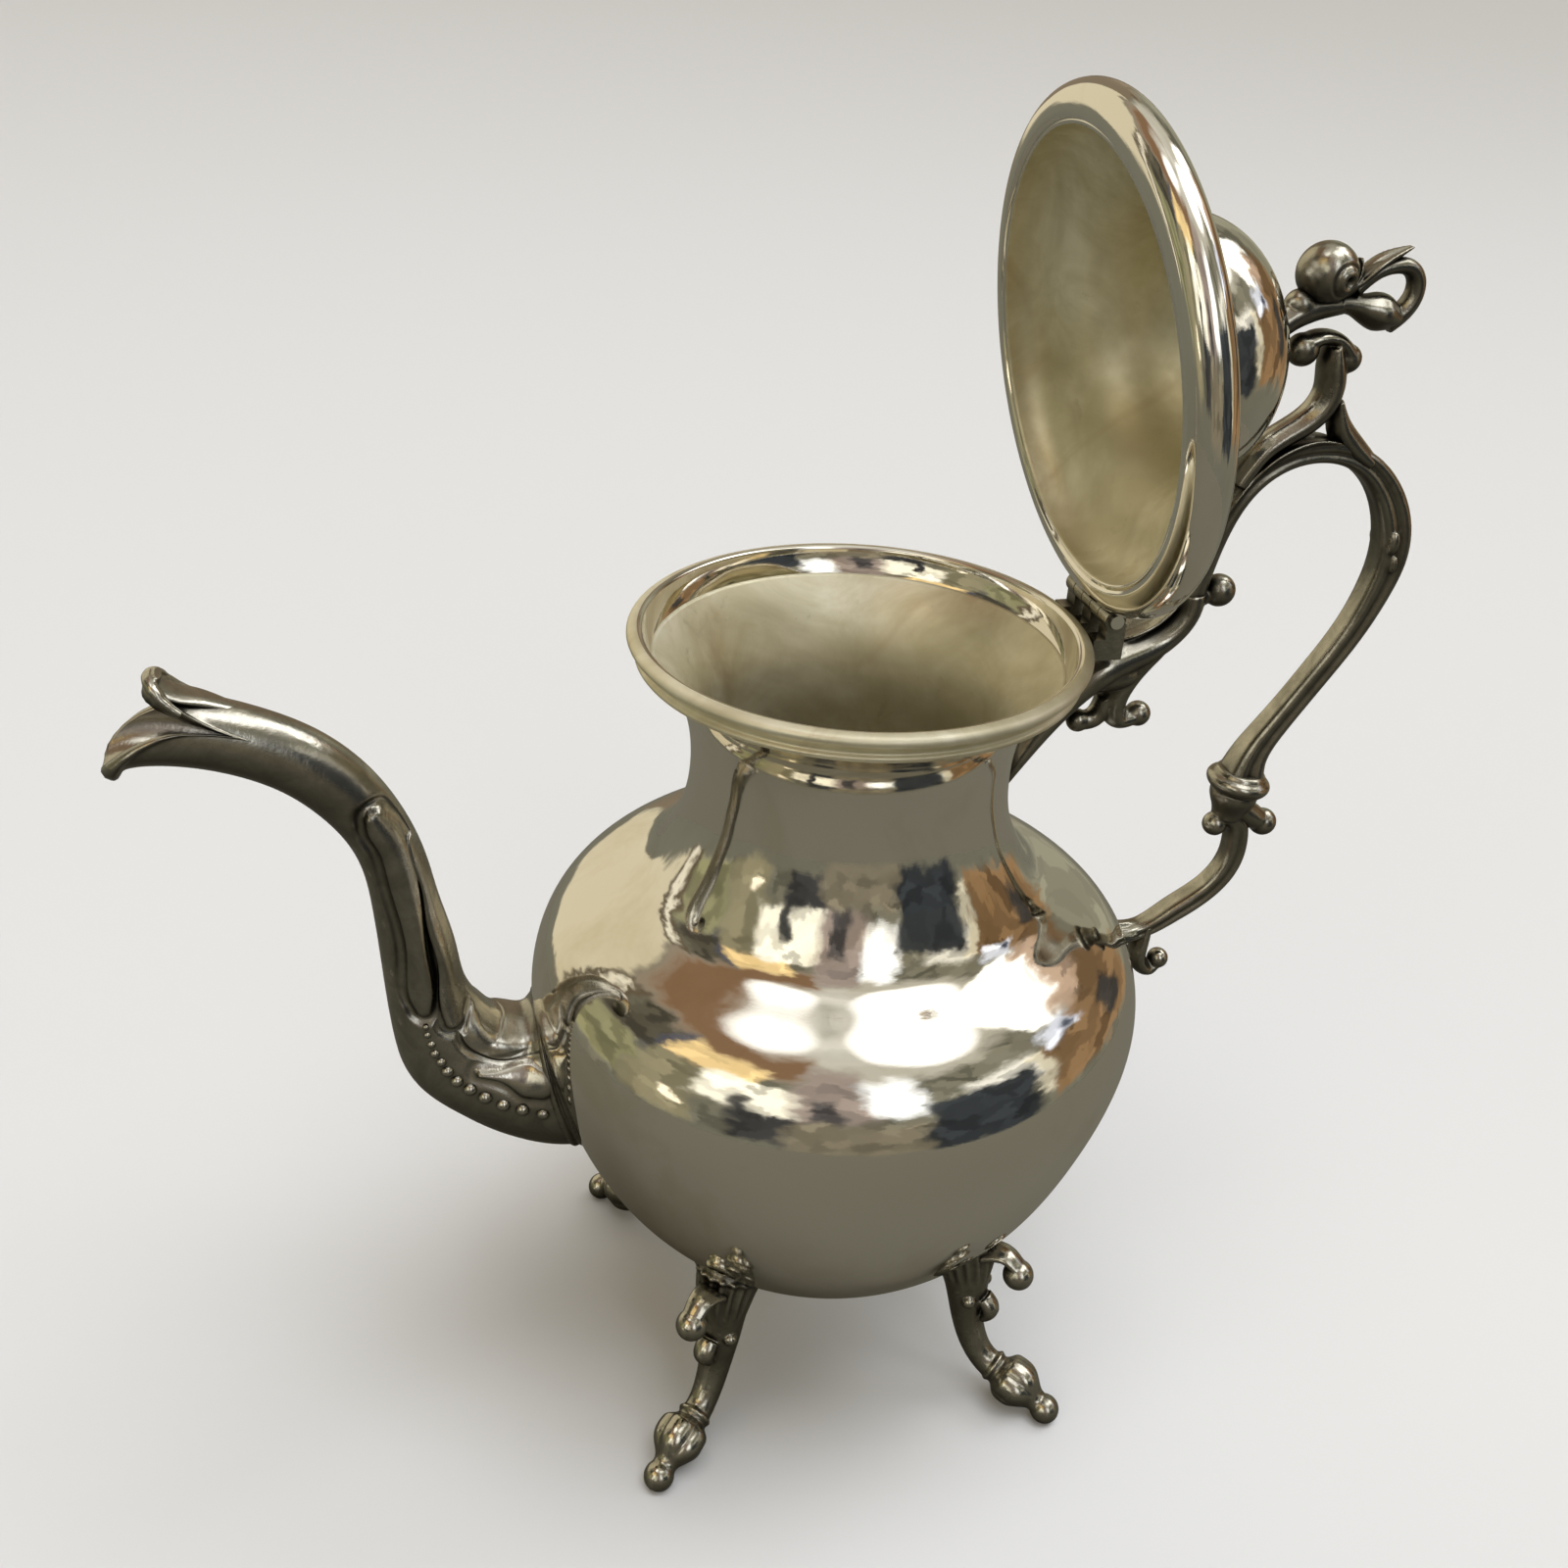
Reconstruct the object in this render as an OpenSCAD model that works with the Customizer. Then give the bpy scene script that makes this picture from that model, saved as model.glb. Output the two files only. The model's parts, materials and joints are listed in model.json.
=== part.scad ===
// Baluster coffee pot on four scroll feet, with a hinged domed lid, a swan-neck spout and a
// double-scroll handle. The spout points to -X and the handle and hinge to +X. The feet stand
// on z = 0, and x = 0 is the middle of the pot's length, so the body's own axis is at axis_x.
// The lid is drawn open, leaning back on the handle's thumb scroll.

/* [Body] */
// Radius of the body at its widest
belly_r = 69.5; // [68:0.5:71]
// Height of the underside of the bowl above the table
base_z = 31; // [30:0.5:32]
// Thickness of the spun body wall
body_wall = 1.2; // [0.8:0.1:1.6]
// Radius of the lip of the mouth
lip_r = 48; // [47:0.5:49]
// Height of the lip of the mouth
lip_z = 195.8; // [195:0.1:196.5]

/* [Spout] */
// Wall thickness of the cast spout
spout_wall = 1.5; // [1:0.1:2]
// Radius of each strainer hole in the body wall behind the spout
strainer_r = 1.6; // [1.2:0.1:2]

/* [Lid] */
// How far the lid is open, in degrees
lid_open = 81.5; // [0:0.5:81.5]
// Thickness of the spun lid wall
lid_wall = 1.2; // [0.8:0.1:1.6]
// Radius of the lid's dome
dome_r = 26.5; // [25:0.5:28]
// Height of the lid's dome
dome_h = 20.5; // [19:0.5:21]

/* [Hinge] */
// Outer radius of the hinge barrel
barrel_r = 2.3; // [2:0.1:2.5]
// Radius of the hinge pin
pin_r = 0.8; // [0.6:0.1:1]
// Radial clearance between the pin and the lid's knuckles
pin_clearance = 0.06; // [0.02:0.01:0.1]
// Length of one knuckle
knuckle_len = 4.1; // [3.6:0.1:4.3]

/* [Feet] */
// Angle of each foot from the long axis, in degrees
foot_angle = 45; // [40:1:50]
// Radius of the ball at the toe
toe_ball_r = 3.7; // [3.5:0.1:4]

/* [Hidden] */

$fn = 96;
axis_x = 12.8;
silver = "#c9c5b8";
old_silver = "#6f6c62";

// The hinge axis runs along Y at the edge of the mouth.
hinge_x = 51.8;
hinge_z = lip_z + 3.5;
barrel_gap = 0.25;
knuckles = 5;
barrel_len = knuckles * knuckle_len + (knuckles - 1) * barrel_gap;

// Closed lid: its lip lies just above the mouth.
lid_lip_z = lip_z + 0.3;
moulding_r = 4.6;
moulding_mid = [lip_r - 1.1, lid_lip_z + 4.5];
dome_z = lip_z + 18.5;

// The body's outline, from under the rim moulding down to the middle of the bowl.
rim_h = 6.3;
body_outline = [
    [lip_r - 4.4, lip_z - rim_h], [lip_r - 9, 184], [36, 177.5], [34.6, 170], [34.5, 162],
    [36, 153], [39.5, 145], [45, 137.5], [53, 133], [61, 128], [belly_r - 3.2, 121.5],
    [belly_r, 110], [belly_r - 1, 97.5], [64.5, 83], [58, 67], [47, 51.5], [32, 39.5],
    [16, 32.5], [0, base_z]
];

// Point between p1 and p2 on the smooth curve through p0, p1, p2 and p3.
function blend4(p0, p1, p2, p3, t) =
    0.5 * (2 * p1 + (p2 - p0) * t + (2 * p0 - 5 * p1 + 4 * p2 - p3) * t * t
    + (3 * p1 - p0 - 3 * p2 + p3) * t * t * t);

// Smooth curve through the points, with n steps from each to the next.
function smooth(pts, n) = [
    for (i = [0 : len(pts) - 2], k = [0 : n - 1])
        blend4(pts[max(i - 1, 0)], pts[i], pts[i + 1], pts[min(i + 2, len(pts) - 1)], k / n),
    pts[len(pts) - 1]
];

// Unit direction of the curve at point i.
function along(pts, i) =
    let (d = pts[min(i + 1, len(pts) - 1)] - pts[max(i - 1, 0)], v = [d[0], d[1]])
    v / norm(v);

// The curve moved inwards by w, to the left of its own direction.
function inset(pts, w) = [
    for (i = [0 : len(pts) - 1])
        let (t = along(pts, i))
        [max(pts[i][0] + t[1] * w, 0), pts[i][1] - t[0] * w]
];

function reversed(v) = [for (i = [len(v) - 1 : -1 : 0]) v[i]];

// Moves a child from the body's axis to its place in the part.
module place() {
    translate([axis_x, 0, 0]) children();
}

// Turns a child of the closed lid about the hinge to where the lid stands.
module lid_place() {
    place()
        translate([hinge_x, 0, hinge_z])
            rotate([0, lid_open, 0])
                translate([-hinge_x, 0, -hinge_z]) children();
}

// Solid swept along points [x, z, half thickness in the plane, half width across it].
module sweep(pts, n = 3, sides = 16) {
    path = smooth(pts, n);
    rings = len(path);
    body = [
        for (i = [0 : rings - 1], k = [0 : sides - 1])
            let (t = along(path, i), a = 360 * k / sides, p = path[i])
            [p[0] - t[1] * p[2] * cos(a), p[3] * sin(a), p[1] + t[0] * p[2] * cos(a)]
    ];
    ends = [[path[0][0], 0, path[0][1]], [path[rings - 1][0], 0, path[rings - 1][1]]];
    first = rings * sides;
    last = (rings - 1) * sides;
    skin = [
        for (i = [0 : rings - 2], k = [0 : sides - 1])
            let (j = (k + 1) % sides, a = i * sides)
            each [[a + k, a + j, a + sides + k], [a + j, a + sides + j, a + sides + k]]
    ];
    caps = [
        for (k = [0 : sides - 1])
            let (j = (k + 1) % sides)
            each [[first, j, k], [first + 1, last + k, last + j]]
    ];
    polyhedron(concat(body, ends), concat(skin, caps), convexity = 10);
}

module ball(x, z, r, y = 0) {
    translate([x, y, z]) sphere(r, $fn = 48);
}

// ---- Body ----

// Everything inside the body's outer surface, used to fit the soldered pieces to it.
module body_solid() {
    rotate_extrude() polygon(concat(smooth(body_outline, 3), [[0, lip_z - rim_h]]));
}

module rim_solid() {
    rotate_extrude() polygon(concat(rim_outline, [[0, lip_z], [0, lip_z - rim_h]]));
}

rim_outline = concat(
    [[lip_r - 5.6, lip_z - rim_h]],
    [for (a = [-75 : 15 : 75]) [lip_r - 2.6 + 3.1 * cos(a), lip_z - 3.1 + 3.1 * sin(a)]]
);

module strainer_holes() {
    rows = [3, 4, 5, 4, 3];
    pitch = 5;
    for (row = [0 : len(rows) - 1], k = [0 : rows[row] - 1])
        translate([0, (k - (rows[row] - 1) / 2) * pitch, 88 + (row - 2) * pitch * sin(60)])
            rotate([0, -90, 0]) cylinder(h = 90, r = strainer_r, $fn = 24);
}

module body_wall_solid() {
    outer = smooth(body_outline, 3);
    rotate_extrude() polygon(concat(outer, reversed(inset(outer, body_wall))));
}

module body_shell() {
    color(silver) place() difference() {
        body_wall_solid();
        strainer_holes();
    }
}

// Applied half-round moulding round the mouth.
module rim_moulding() {
    inner = [[lip_r - 3.6, lip_z], [lip_r - 4.4 - body_wall, lip_z - rim_h]];
    color(silver) place() difference() {
        rotate_extrude() polygon(concat(rim_outline, inner));
        body_solid();
        body_wall_solid();
    }
}

// ---- Spout ----

// Centre line of the spout: x, z, half height, half width.
spout_line = [
    [-56, 92, 21.4, 16.8], [-66, 90.2, 20.2, 16.2], [-73.7, 90.7, 16.4, 14.2],
    [-80.4, 93.6, 13.9, 12.6], [-86, 98, 12.8, 10.7], [-89.6, 104.7, 11, 9.4],
    [-92.5, 115.1, 8.7, 8], [-93.7, 126, 8, 7],
    [-95.4, 138, 7, 6.4], [-97, 148, 6.6, 6.2], [-100, 157, 6.6, 6.2], [-105.5, 166, 7, 6.4],
    [-113.5, 173.8, 7.4, 6.7], [-123.5, 179, 7.8, 7], [-133, 182, 8.2, 7.8],
    [-143, 183, 9, 8.8], [-153, 183, 9.4, 9.4]
];
// The bore runs a little past both ends of the spout.
bore_line = concat(
    [[-50, 92.7, 22, 15.5]],
    [for (p = spout_line) [p[0], p[1], p[2] - spout_wall, p[3] - spout_wall]],
    [[-158, 183, 8, 8]]
);

// Side view of what the open beak of the mouth leaves out, from its notch round the upper lip.
mouth_edge = [
    [-126.4, 184.2], [-131, 187.2], [-136, 189.2], [-140.3, 190.6], [-142, 200], [-170, 200],
    [-170, 165], [-151.4, 171], [-150.4, 175.4], [-147.6, 179.4], [-143.4, 182.8],
    [-139.8, 184.4], [-131, 184.6]
];

module spout_mouth_cut() {
    rotate([90, 0, 0]) linear_extrude(height = 40, center = true) polygon(mouth_edge);
}

module spout_outside() {
    sweep(spout_line, 2, 24);
}

// Half of the spout, which is cast in two halves and seamed along its middle plane.
module spout_half(side) {
    color(silver) place() difference() {
        spout_outside();
        sweep(bore_line, 2, 24);
        spout_mouth_cut();
        body_solid();
        translate([-200, side > 0 ? -40 : 0, 0]) cube([200, 40, 250]);
    }
}

module spout_half_left() { spout_half(-1); }
module spout_half_right() { spout_half(1); }

// Ridged moulding round the foot of the spout, soldered to the body.
module spout_collar() {
    line = [[-52, 92.5, 23, 18], [-64, 90.6, 22, 17.6], [-68.6, 90.2, 20.6, 17],
        [-71.4, 90.4, 18.6, 15.8]];
    root = [for (i = [0 : 6]) spout_line[i]];
    color(silver) place() difference() {
        sweep(line, 2, 16);
        sweep(root, 2, 24);
        body_solid();
    }
}

// Leaf that curls up and back over the mouth of the spout.
module spout_leaf_curl() {
    line = [[-121, 186.3, 0.8, 1.6], [-127, 188.7, 1.2, 3], [-133, 190.2, 1.3, 4],
        [-137.3, 191, 1.2, 4.4], [-139.6, 193.2, 1.1, 4.2], [-138.8, 195.4, 1, 3.4],
        [-136.2, 195.6, 1.1, 2.4]];
    color(silver) place() difference() {
        sweep(line, 3, 12);
        spout_outside();
    }
}

// ---- Handle ----

// Centre line of the grip, from its root behind the lid over the crest and down to the collar.
grip_line = [
    [73.5, 200.8, 3.3, 3.7], [74.8, 207, 3.2, 3.7], [78, 218, 3, 3.6], [82.5, 225, 2.8, 3.5],
    [89, 229.5, 2.7, 3.4], [97.5, 231, 2.5, 3.4], [106.5, 229, 2.8, 3.5],
    [114.2, 222.6, 3.4, 3.7], [118.8, 214, 3.9, 3.9], [119.9, 206.5, 3.9, 3.9],
    [118.6, 199, 3.5, 3.7], [114.8, 189, 3.1, 3.5], [108.2, 177.6, 3, 3.4],
    [101.2, 166.6, 3.1, 3.5], [96.6, 158.4, 3.8, 4.2], [95.4, 154.6, 4.8, 5]
];
collar_at = [95.2, 151.4];
collar_tilt = 8;

// Bracket that carries the handle and the hinge, from the neck to the root of the grip.
module bracket_arms() {
    sweep([[35, 158, 2, 4], [40, 167, 3, 5], [46, 177, 4.5, 6.5], [53.5, 184.5, 5.5, 7],
        [62, 187.5, 4.6, 5.6], [68.8, 190.6, 3.8, 4.6], [73, 196, 3.4, 4.2],
        [73.4, 201, 3.6, 4]], 3, 16);
    sweep([[67, 188, 3, 4.2], [62.6, 183.4, 3.4, 4.6], [60.2, 178.6, 3.3, 4.2],
        [59.6, 174, 3, 3.6], [61.4, 170.6, 2.4, 3], [65, 170.8, 2.2, 2.4]], 3, 12);
    sweep([[58, 176, 2.4, 3], [55.5, 171, 2.2, 2.6], [52, 170.5, 2.2, 2.2]], 3, 12);
    sweep([[72, 195, 2.4, 3], [76, 198.6, 2, 2.4], [80.4, 200.2, 2, 2]], 3, 12);
}

module bracket_solid() {
    bracket_arms();
    ball(66.3, 171.2, 2.9);
    ball(52, 170.5, 2.6);
    ball(80.4, 200.2, 3.6);
}

module handle_bracket() {
    color(old_silver) place() difference() {
        bracket_solid();
        body_solid();
        rim_solid();
        hinge_space();
    }
}

module grip_solid() {
    sweep(grip_line, 3, 16);
}

module handle_grip() {
    color(old_silver) place() difference() {
        grip_solid();
        bracket_solid();
    }
}

// Small leaf in the crotch between the crest of the grip and the thumb scroll.
module handle_crest_leaf() {
    color(old_silver) place() difference() {
        sweep([[109, 228.2, 2.2, 3], [104.6, 231.6, 2.8, 3.2], [100.8, 235.6, 2.6, 3],
            [98.6, 240.6, 1.6, 2.4]], 3, 12);
        grip_solid();
        thumb_solid();
    }
}

thumb_ball = [88.5, 252.2];
thumb_lobe = [99, 250.2];

// Scroll that the thumb rests on and that stops the open lid.
module thumb_solid() {
    sweep([[79, 224.5, 2.6, 3.4], [84, 231.8, 2.6, 3.4], [90.4, 236, 2.8, 3.4],
        [95, 240, 3, 3.5], [96.4, 244.6, 3, 3.6], [95.6, 249.4, 2.7, 3.6],
        [95, 253, 1.6, 3]], 3, 16);
    sweep([[88.5, 253.2, 2, 2.8], [91.5, 254.6, 1.6, 3], [95.5, 254.2, 1.5, 3],
        [99, 251, 2, 2.8]], 3, 12);
    ball(thumb_ball[0], thumb_ball[1], 3.4);
    ball(thumb_lobe[0], thumb_lobe[1], 3);
}

module handle_thumb_scroll() {
    color(old_silver) place() difference() {
        thumb_solid();
        grip_solid();
    }
}

// Puts a child that stands along +Z at the collar, leaning with the grip.
module at_collar() {
    translate([collar_at[0], 0, collar_at[1]]) rotate([0, collar_tilt, 0]) children();
}

// Turned ring between the grip and the cup.
module collar_ring(grow = 0) {
    at_collar() rotate_extrude() polygon([
        [0, -3 - grow], [5.2, -3 - grow], [6.5, -2], [7.2, -0.8], [7.2, 0.6], [6.4, 1.8],
        [5.2, 3 + grow], [0, 3 + grow]
    ]);
}

module handle_collar() {
    color(silver) place() difference() {
        collar_ring();
        grip_solid();
    }
}

// Cup under the collar, with two buds at its foot.
module cup_solid() {
    at_collar() rotate_extrude() polygon([
        [0, -10], [3, -10], [3.8, -8], [5.2, -5], [5.6, -3], [0, -3]
    ]);
    ball(91.4, 140, 2.9);
    ball(104, 139.4, 3.3);
    sweep([[97, 144, 3, 3.4], [100.6, 141.4, 3, 3.2], [103.6, 139.6, 2.4, 2.6]], 3, 12);
}

module handle_cup() {
    color(old_silver) place() difference() {
        cup_solid();
        collar_ring();
        grip_solid();
    }
}

strut_line = [
    [91.2, 140.4, 2, 2.4], [93.6, 142, 2.4, 2.8], [96.4, 140.4, 2.6, 3.1], [97.6, 136, 2.7, 3.2],
    [97.6, 131.5, 2.7, 3.2], [96, 126.4, 2.7, 3.2], [92.4, 121.8, 2.7, 3.2],
    [88, 118.4, 2.7, 3.3], [84.3, 116, 2.6, 3.3], [80.4, 113.4, 2.3, 3.2],
    [76, 111.4, 2.2, 3], [70.5, 110.8, 2.6, 3.6], [64, 111, 3, 4.2]
];

module strut_solid() {
    sweep(strut_line, 3, 16);
}

// S-shaped strut from the cup down to the belly of the body.
module handle_lower_strut() {
    color(old_silver) place() difference() {
        strut_solid();
        cup_solid();
        body_solid();
    }
}

// Scroll that curls back under the foot of the strut.
module handle_lower_scroll() {
    color(old_silver) place() difference() {
        union() {
            sweep([[78.4, 113, 1.6, 2.4], [77.8, 108.6, 2.1, 2.9], [77.5, 104.2, 2.2, 3],
                [78.8, 100.8, 2, 2.8], [81.2, 99.4, 1.8, 2.4], [83.2, 101, 1.4, 1.8]], 3, 12);
            ball(83.5, 101.9, 2.6);
        }
        strut_solid();
        body_solid();
    }
}

// ---- Hinge ----

// Room that the hinge barrel needs in the pieces round it.
module hinge_space() {
    translate([hinge_x, 0, hinge_z]) rotate([90, 0, 0])
        cylinder(h = barrel_len + 0.6, r = barrel_r + 0.3, center = true);
}

// Places a child at each knuckle: parity 0 for the body's, 1 for the lid's.
module each_knuckle(parity) {
    for (i = [0 : knuckles - 1])
        if (i % 2 == parity)
            translate([hinge_x, -barrel_len / 2 + i * (knuckle_len + barrel_gap), hinge_z])
                children();
}

// Body's knuckles, each on a lug that stands on the bracket and the rim moulding.
module hinge_knuckles_body() {
    color(old_silver) place() difference() {
        each_knuckle(0) {
            difference() {
                union() {
                    rotate([-90, 0, 0]) cylinder(h = knuckle_len, r = barrel_r);
                    translate([-1.6, 0, -9]) cube([4.2, knuckle_len, 8]);
                    translate([-4.2, 0, -9]) cube([6.8, knuckle_len, 4.8]);
                }
                translate([0, -1, 0]) rotate([-90, 0, 0])
                    cylinder(h = knuckle_len + 2, r = pin_r);
            }
        }
        rim_solid();
        bracket_solid();
        body_solid();
    }
}

// Lid's knuckles, each on a strap that is soldered to the lid's moulding.
module hinge_knuckles_lid() {
    color(old_silver) lid_place() difference() {
        each_knuckle(1) {
            difference() {
                union() {
                    rotate([-90, 0, 0]) cylinder(h = knuckle_len, r = barrel_r);
                    translate([-5, 0, 0.4]) cube([5, knuckle_len, barrel_r - 0.4]);
                }
                translate([0, -1, 0]) rotate([-90, 0, 0])
                    cylinder(h = knuckle_len + 2, r = pin_r + pin_clearance);
            }
        }
        moulding_solid();
    }
}

module hinge_pin() {
    color(silver) place() translate([hinge_x, 0, hinge_z]) rotate([90, 0, 0]) {
        cylinder(h = barrel_len, r = pin_r, center = true);
        for (end = [-1, 1])
            translate([0, 0, end * (barrel_len / 2 + 0.5)])
                cylinder(h = 1, r = 1.5, center = true);
    }
}

// ---- Lid, drawn closed and then turned about the hinge ----

lid_inner_r = lip_r - 3;
lid_outline = [
    [lid_inner_r, lid_lip_z + 0.4], [lid_inner_r, lid_lip_z + 8.2], [42, lid_lip_z + 9.6],
    [36, lid_lip_z + 10.8], [31, lid_lip_z + 12.6], [dome_r + 1.4, lid_lip_z + 15.6],
    [dome_r + 1.4, dome_z - 1]
];
dome_outline = [
    for (a = [0 : 6 : 90]) [dome_r * pow(cos(a), 0.8), dome_z + dome_h * sin(a)]
];
dome_top_z = dome_z + dome_h;

module lid_solid() {
    rotate_extrude() polygon(concat([[0, lid_lip_z + 0.4]], lid_outline, dome_outline));
}

module lid_shell() {
    outer = concat(lid_outline, dome_outline);
    inner = [
        for (i = [0 : len(outer) - 1])
            let (t = along(outer, i))
            [max(outer[i][0] - t[1] * lid_wall, 0), outer[i][1] + t[0] * lid_wall]
    ];
    color(silver) lid_place() rotate_extrude() polygon(concat(outer, reversed(inner)));
}

// Cross-section of the half-round moulding, flat underneath where it meets the mouth.
moulding_section = concat(
    [[lid_inner_r, lid_lip_z], [lip_r, lid_lip_z]],
    [for (a = [-60 : 15 : 105]) moulding_mid + moulding_r * [cos(a), sin(a)]],
    [[lid_inner_r, lid_lip_z + 8.2]]
);

module moulding_solid() {
    difference() {
        rotate_extrude() polygon(moulding_section);
        hinge_space();
    }
}

// Half-round moulding round the lid's edge, notched for the hinge barrel.
module lid_moulding() {
    color(silver) lid_place() moulding_solid();
}

// ---- Finial, on top of the dome ----

module finial_stem_solid() {
    sweep([[0, 231, 4.5, 4.5], [-0.6, 236, 3.4, 3.4], [-2.2, 240, 3, 3], [-3.4, 244.5, 3, 3],
        [-3.2, 248.5, 2.4, 2.6], [-3, 252, 2, 2.2]], 3, 12);
    ball(-4.2, 242.2, 3.3);
}

module finial_stem() {
    color(old_silver) lid_place() difference() {
        finial_stem_solid();
        lid_solid();
    }
}

module finial_bud() {
    color(silver) lid_place() difference() {
        ball(-9.8, 247.6, 6.1);
        finial_stem_solid();
    }
}

module finial_leaf_solid() {
    sweep([[-4.2, 250, 2.2, 2.6], [-6, 254.5, 2.2, 3], [-8.8, 258.5, 2, 3.2],
        [-11.4, 262.2, 1.6, 2.6], [-13, 266, 0.5, 0.8]], 3, 12);
}

// Pointed leaf that leans out from the stem.
module finial_leaf() {
    color(old_silver) lid_place() difference() {
        finial_leaf_solid();
        finial_stem_solid();
        ball(-9.8, 247.6, 6.1);
    }
}

// Tendril that loops over and ends in a closed leaf bud.
module finial_tendril() {
    color(old_silver) lid_place() difference() {
        union() {
            sweep([[-5.6, 253.5, 1.8, 2.4], [-8.2, 258, 1.6, 2.2], [-8.9, 262, 1.6, 2.2],
                [-8, 265.6, 1.7, 2.2], [-5.2, 267.4, 1.8, 2.2], [-1.6, 266.8, 1.9, 2.3],
                [1, 264.4, 2, 2.4], [2.8, 261.4, 2, 2.4]], 4, 12);
            sweep([[-3.4, 250, 2, 2.4], [-2.6, 253.6, 2.2, 2.6], [-1.4, 256.4, 3, 3.2],
                [-0.2, 259.4, 3.8, 4], [1.2, 262.2, 2.8, 3], [2.4, 264.6, 1, 1.4]], 3, 12);
        }
        finial_stem_solid();
        finial_leaf_solid();
        ball(-9.8, 247.6, 6.1);
    }
}

// ---- Feet, drawn with x pointing outwards ----

leg_line = [
    [37, 51, 9.5, 8.4], [41, 43.5, 8.4, 7], [43, 36, 6, 5.9], [44, 29, 4.7, 5.2],
    [45, 22, 3.9, 4.2], [47.2, 15.5, 3.5, 3.6], [51, 10.6, 3.4, 3.4], [55.4, 8.6, 3.7, 3.7],
    [58.4, 7.8, 5.9, 6], [61.2, 7, 6, 6.2], [64, 5.5, 4.4, 4.6], [66.5, 4.4, 2.8, 3]
];
toe_at = [68.2, toe_ball_r - 0.3];
scroll_ball_at = [56.6, 42.6];

// Foot number turned to its own corner.
module at_foot(turn) {
    place() rotate([0, 0, turn]) children();
}

module above_table() {
    intersection() {
        children();
        translate([0, -30, 0]) cube([100, 60, 100]);
    }
}

module leg_solid() {
    sweep(leg_line, 3, 16);
    sweep([[48.5, 30.5, 1.8, 2.6], [50.4, 27.6, 2, 2.6], [49, 24, 1.2, 2]], 3, 12);
}

module foot(turn) {
    color(old_silver) at_foot(turn) difference() {
        above_table() union() {
            leg_solid();
            ball(toe_at[0], toe_at[1], toe_ball_r);
        }
        body_solid();
    }
}

// Scroll that curls from the top of the leg and ends in a ball.
module foot_ball(turn) {
    color(silver) at_foot(turn) difference() {
        union() {
            ball(scroll_ball_at[0], scroll_ball_at[1], 3.8);
            sweep([[44, 43, 2.6, 5], [49, 46.5, 2.4, 4.4], [53, 47.2, 1.9, 3.6],
                [56, 45.2, 1.8, 3]], 3, 12);
        }
        leg_solid();
        body_solid();
    }
}

module foot_spout_left() { foot(180 + foot_angle); }
module foot_spout_right() { foot(180 - foot_angle); }
module foot_handle_left() { foot(-foot_angle); }
module foot_handle_right() { foot(foot_angle); }
module foot_ball_spout_left() { foot_ball(180 + foot_angle); }
module foot_ball_spout_right() { foot_ball(180 - foot_angle); }
module foot_ball_handle_left() { foot_ball(-foot_angle); }
module foot_ball_handle_right() { foot_ball(foot_angle); }

body_shell();
rim_moulding();
spout_half_left();
spout_half_right();
spout_collar();
spout_leaf_curl();
handle_bracket();
handle_grip();
handle_crest_leaf();
handle_thumb_scroll();
handle_collar();
handle_cup();
handle_lower_strut();
handle_lower_scroll();
hinge_knuckles_body();
hinge_knuckles_lid();
hinge_pin();
lid_shell();
lid_moulding();
finial_stem();
finial_bud();
finial_leaf();
finial_tendril();
foot_spout_left();
foot_spout_right();
foot_handle_left();
foot_handle_right();
foot_ball_spout_left();
foot_ball_spout_right();
foot_ball_handle_left();
foot_ball_handle_right();
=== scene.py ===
"""Looks of the baluster coffee pot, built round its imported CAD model.

Shapes are given in millimetres about the body's own axis: x to the handle, y across, z up from
the table. Lid pieces are drawn on the closed lid and turned open about the hinge.
"""

import json
import math

import bpy
import numpy as np
from mathutils import Matrix, Vector


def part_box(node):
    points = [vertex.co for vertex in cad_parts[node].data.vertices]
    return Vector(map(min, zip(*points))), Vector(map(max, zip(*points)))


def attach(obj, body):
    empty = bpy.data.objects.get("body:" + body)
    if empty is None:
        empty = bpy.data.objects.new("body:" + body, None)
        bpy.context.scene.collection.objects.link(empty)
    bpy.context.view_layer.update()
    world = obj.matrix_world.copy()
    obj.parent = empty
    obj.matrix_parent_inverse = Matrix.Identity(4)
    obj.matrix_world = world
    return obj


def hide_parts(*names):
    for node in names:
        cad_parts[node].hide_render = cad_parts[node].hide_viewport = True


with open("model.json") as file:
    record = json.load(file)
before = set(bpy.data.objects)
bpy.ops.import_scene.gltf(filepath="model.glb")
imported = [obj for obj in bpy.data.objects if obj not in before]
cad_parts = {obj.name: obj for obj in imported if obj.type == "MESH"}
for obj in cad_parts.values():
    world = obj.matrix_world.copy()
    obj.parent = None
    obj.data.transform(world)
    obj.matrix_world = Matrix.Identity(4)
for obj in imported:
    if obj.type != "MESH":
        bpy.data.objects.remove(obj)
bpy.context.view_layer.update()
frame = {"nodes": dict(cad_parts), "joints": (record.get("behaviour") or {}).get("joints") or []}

MM = 0.001
body_low, body_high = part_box("body_shell")
AXIS_X = (body_low.x + body_high.x) / 2 / MM
hinge_joint = next(j for j in frame["joints"] if j["name"] == "lid_hinge")
HINGE = np.array(hinge_joint["pos_m"]) / MM - [AXIS_X, 0, 0]
LID_OPEN = math.radians(hinge_joint["range_deg"][1])


# ---- Curves ----

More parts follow.
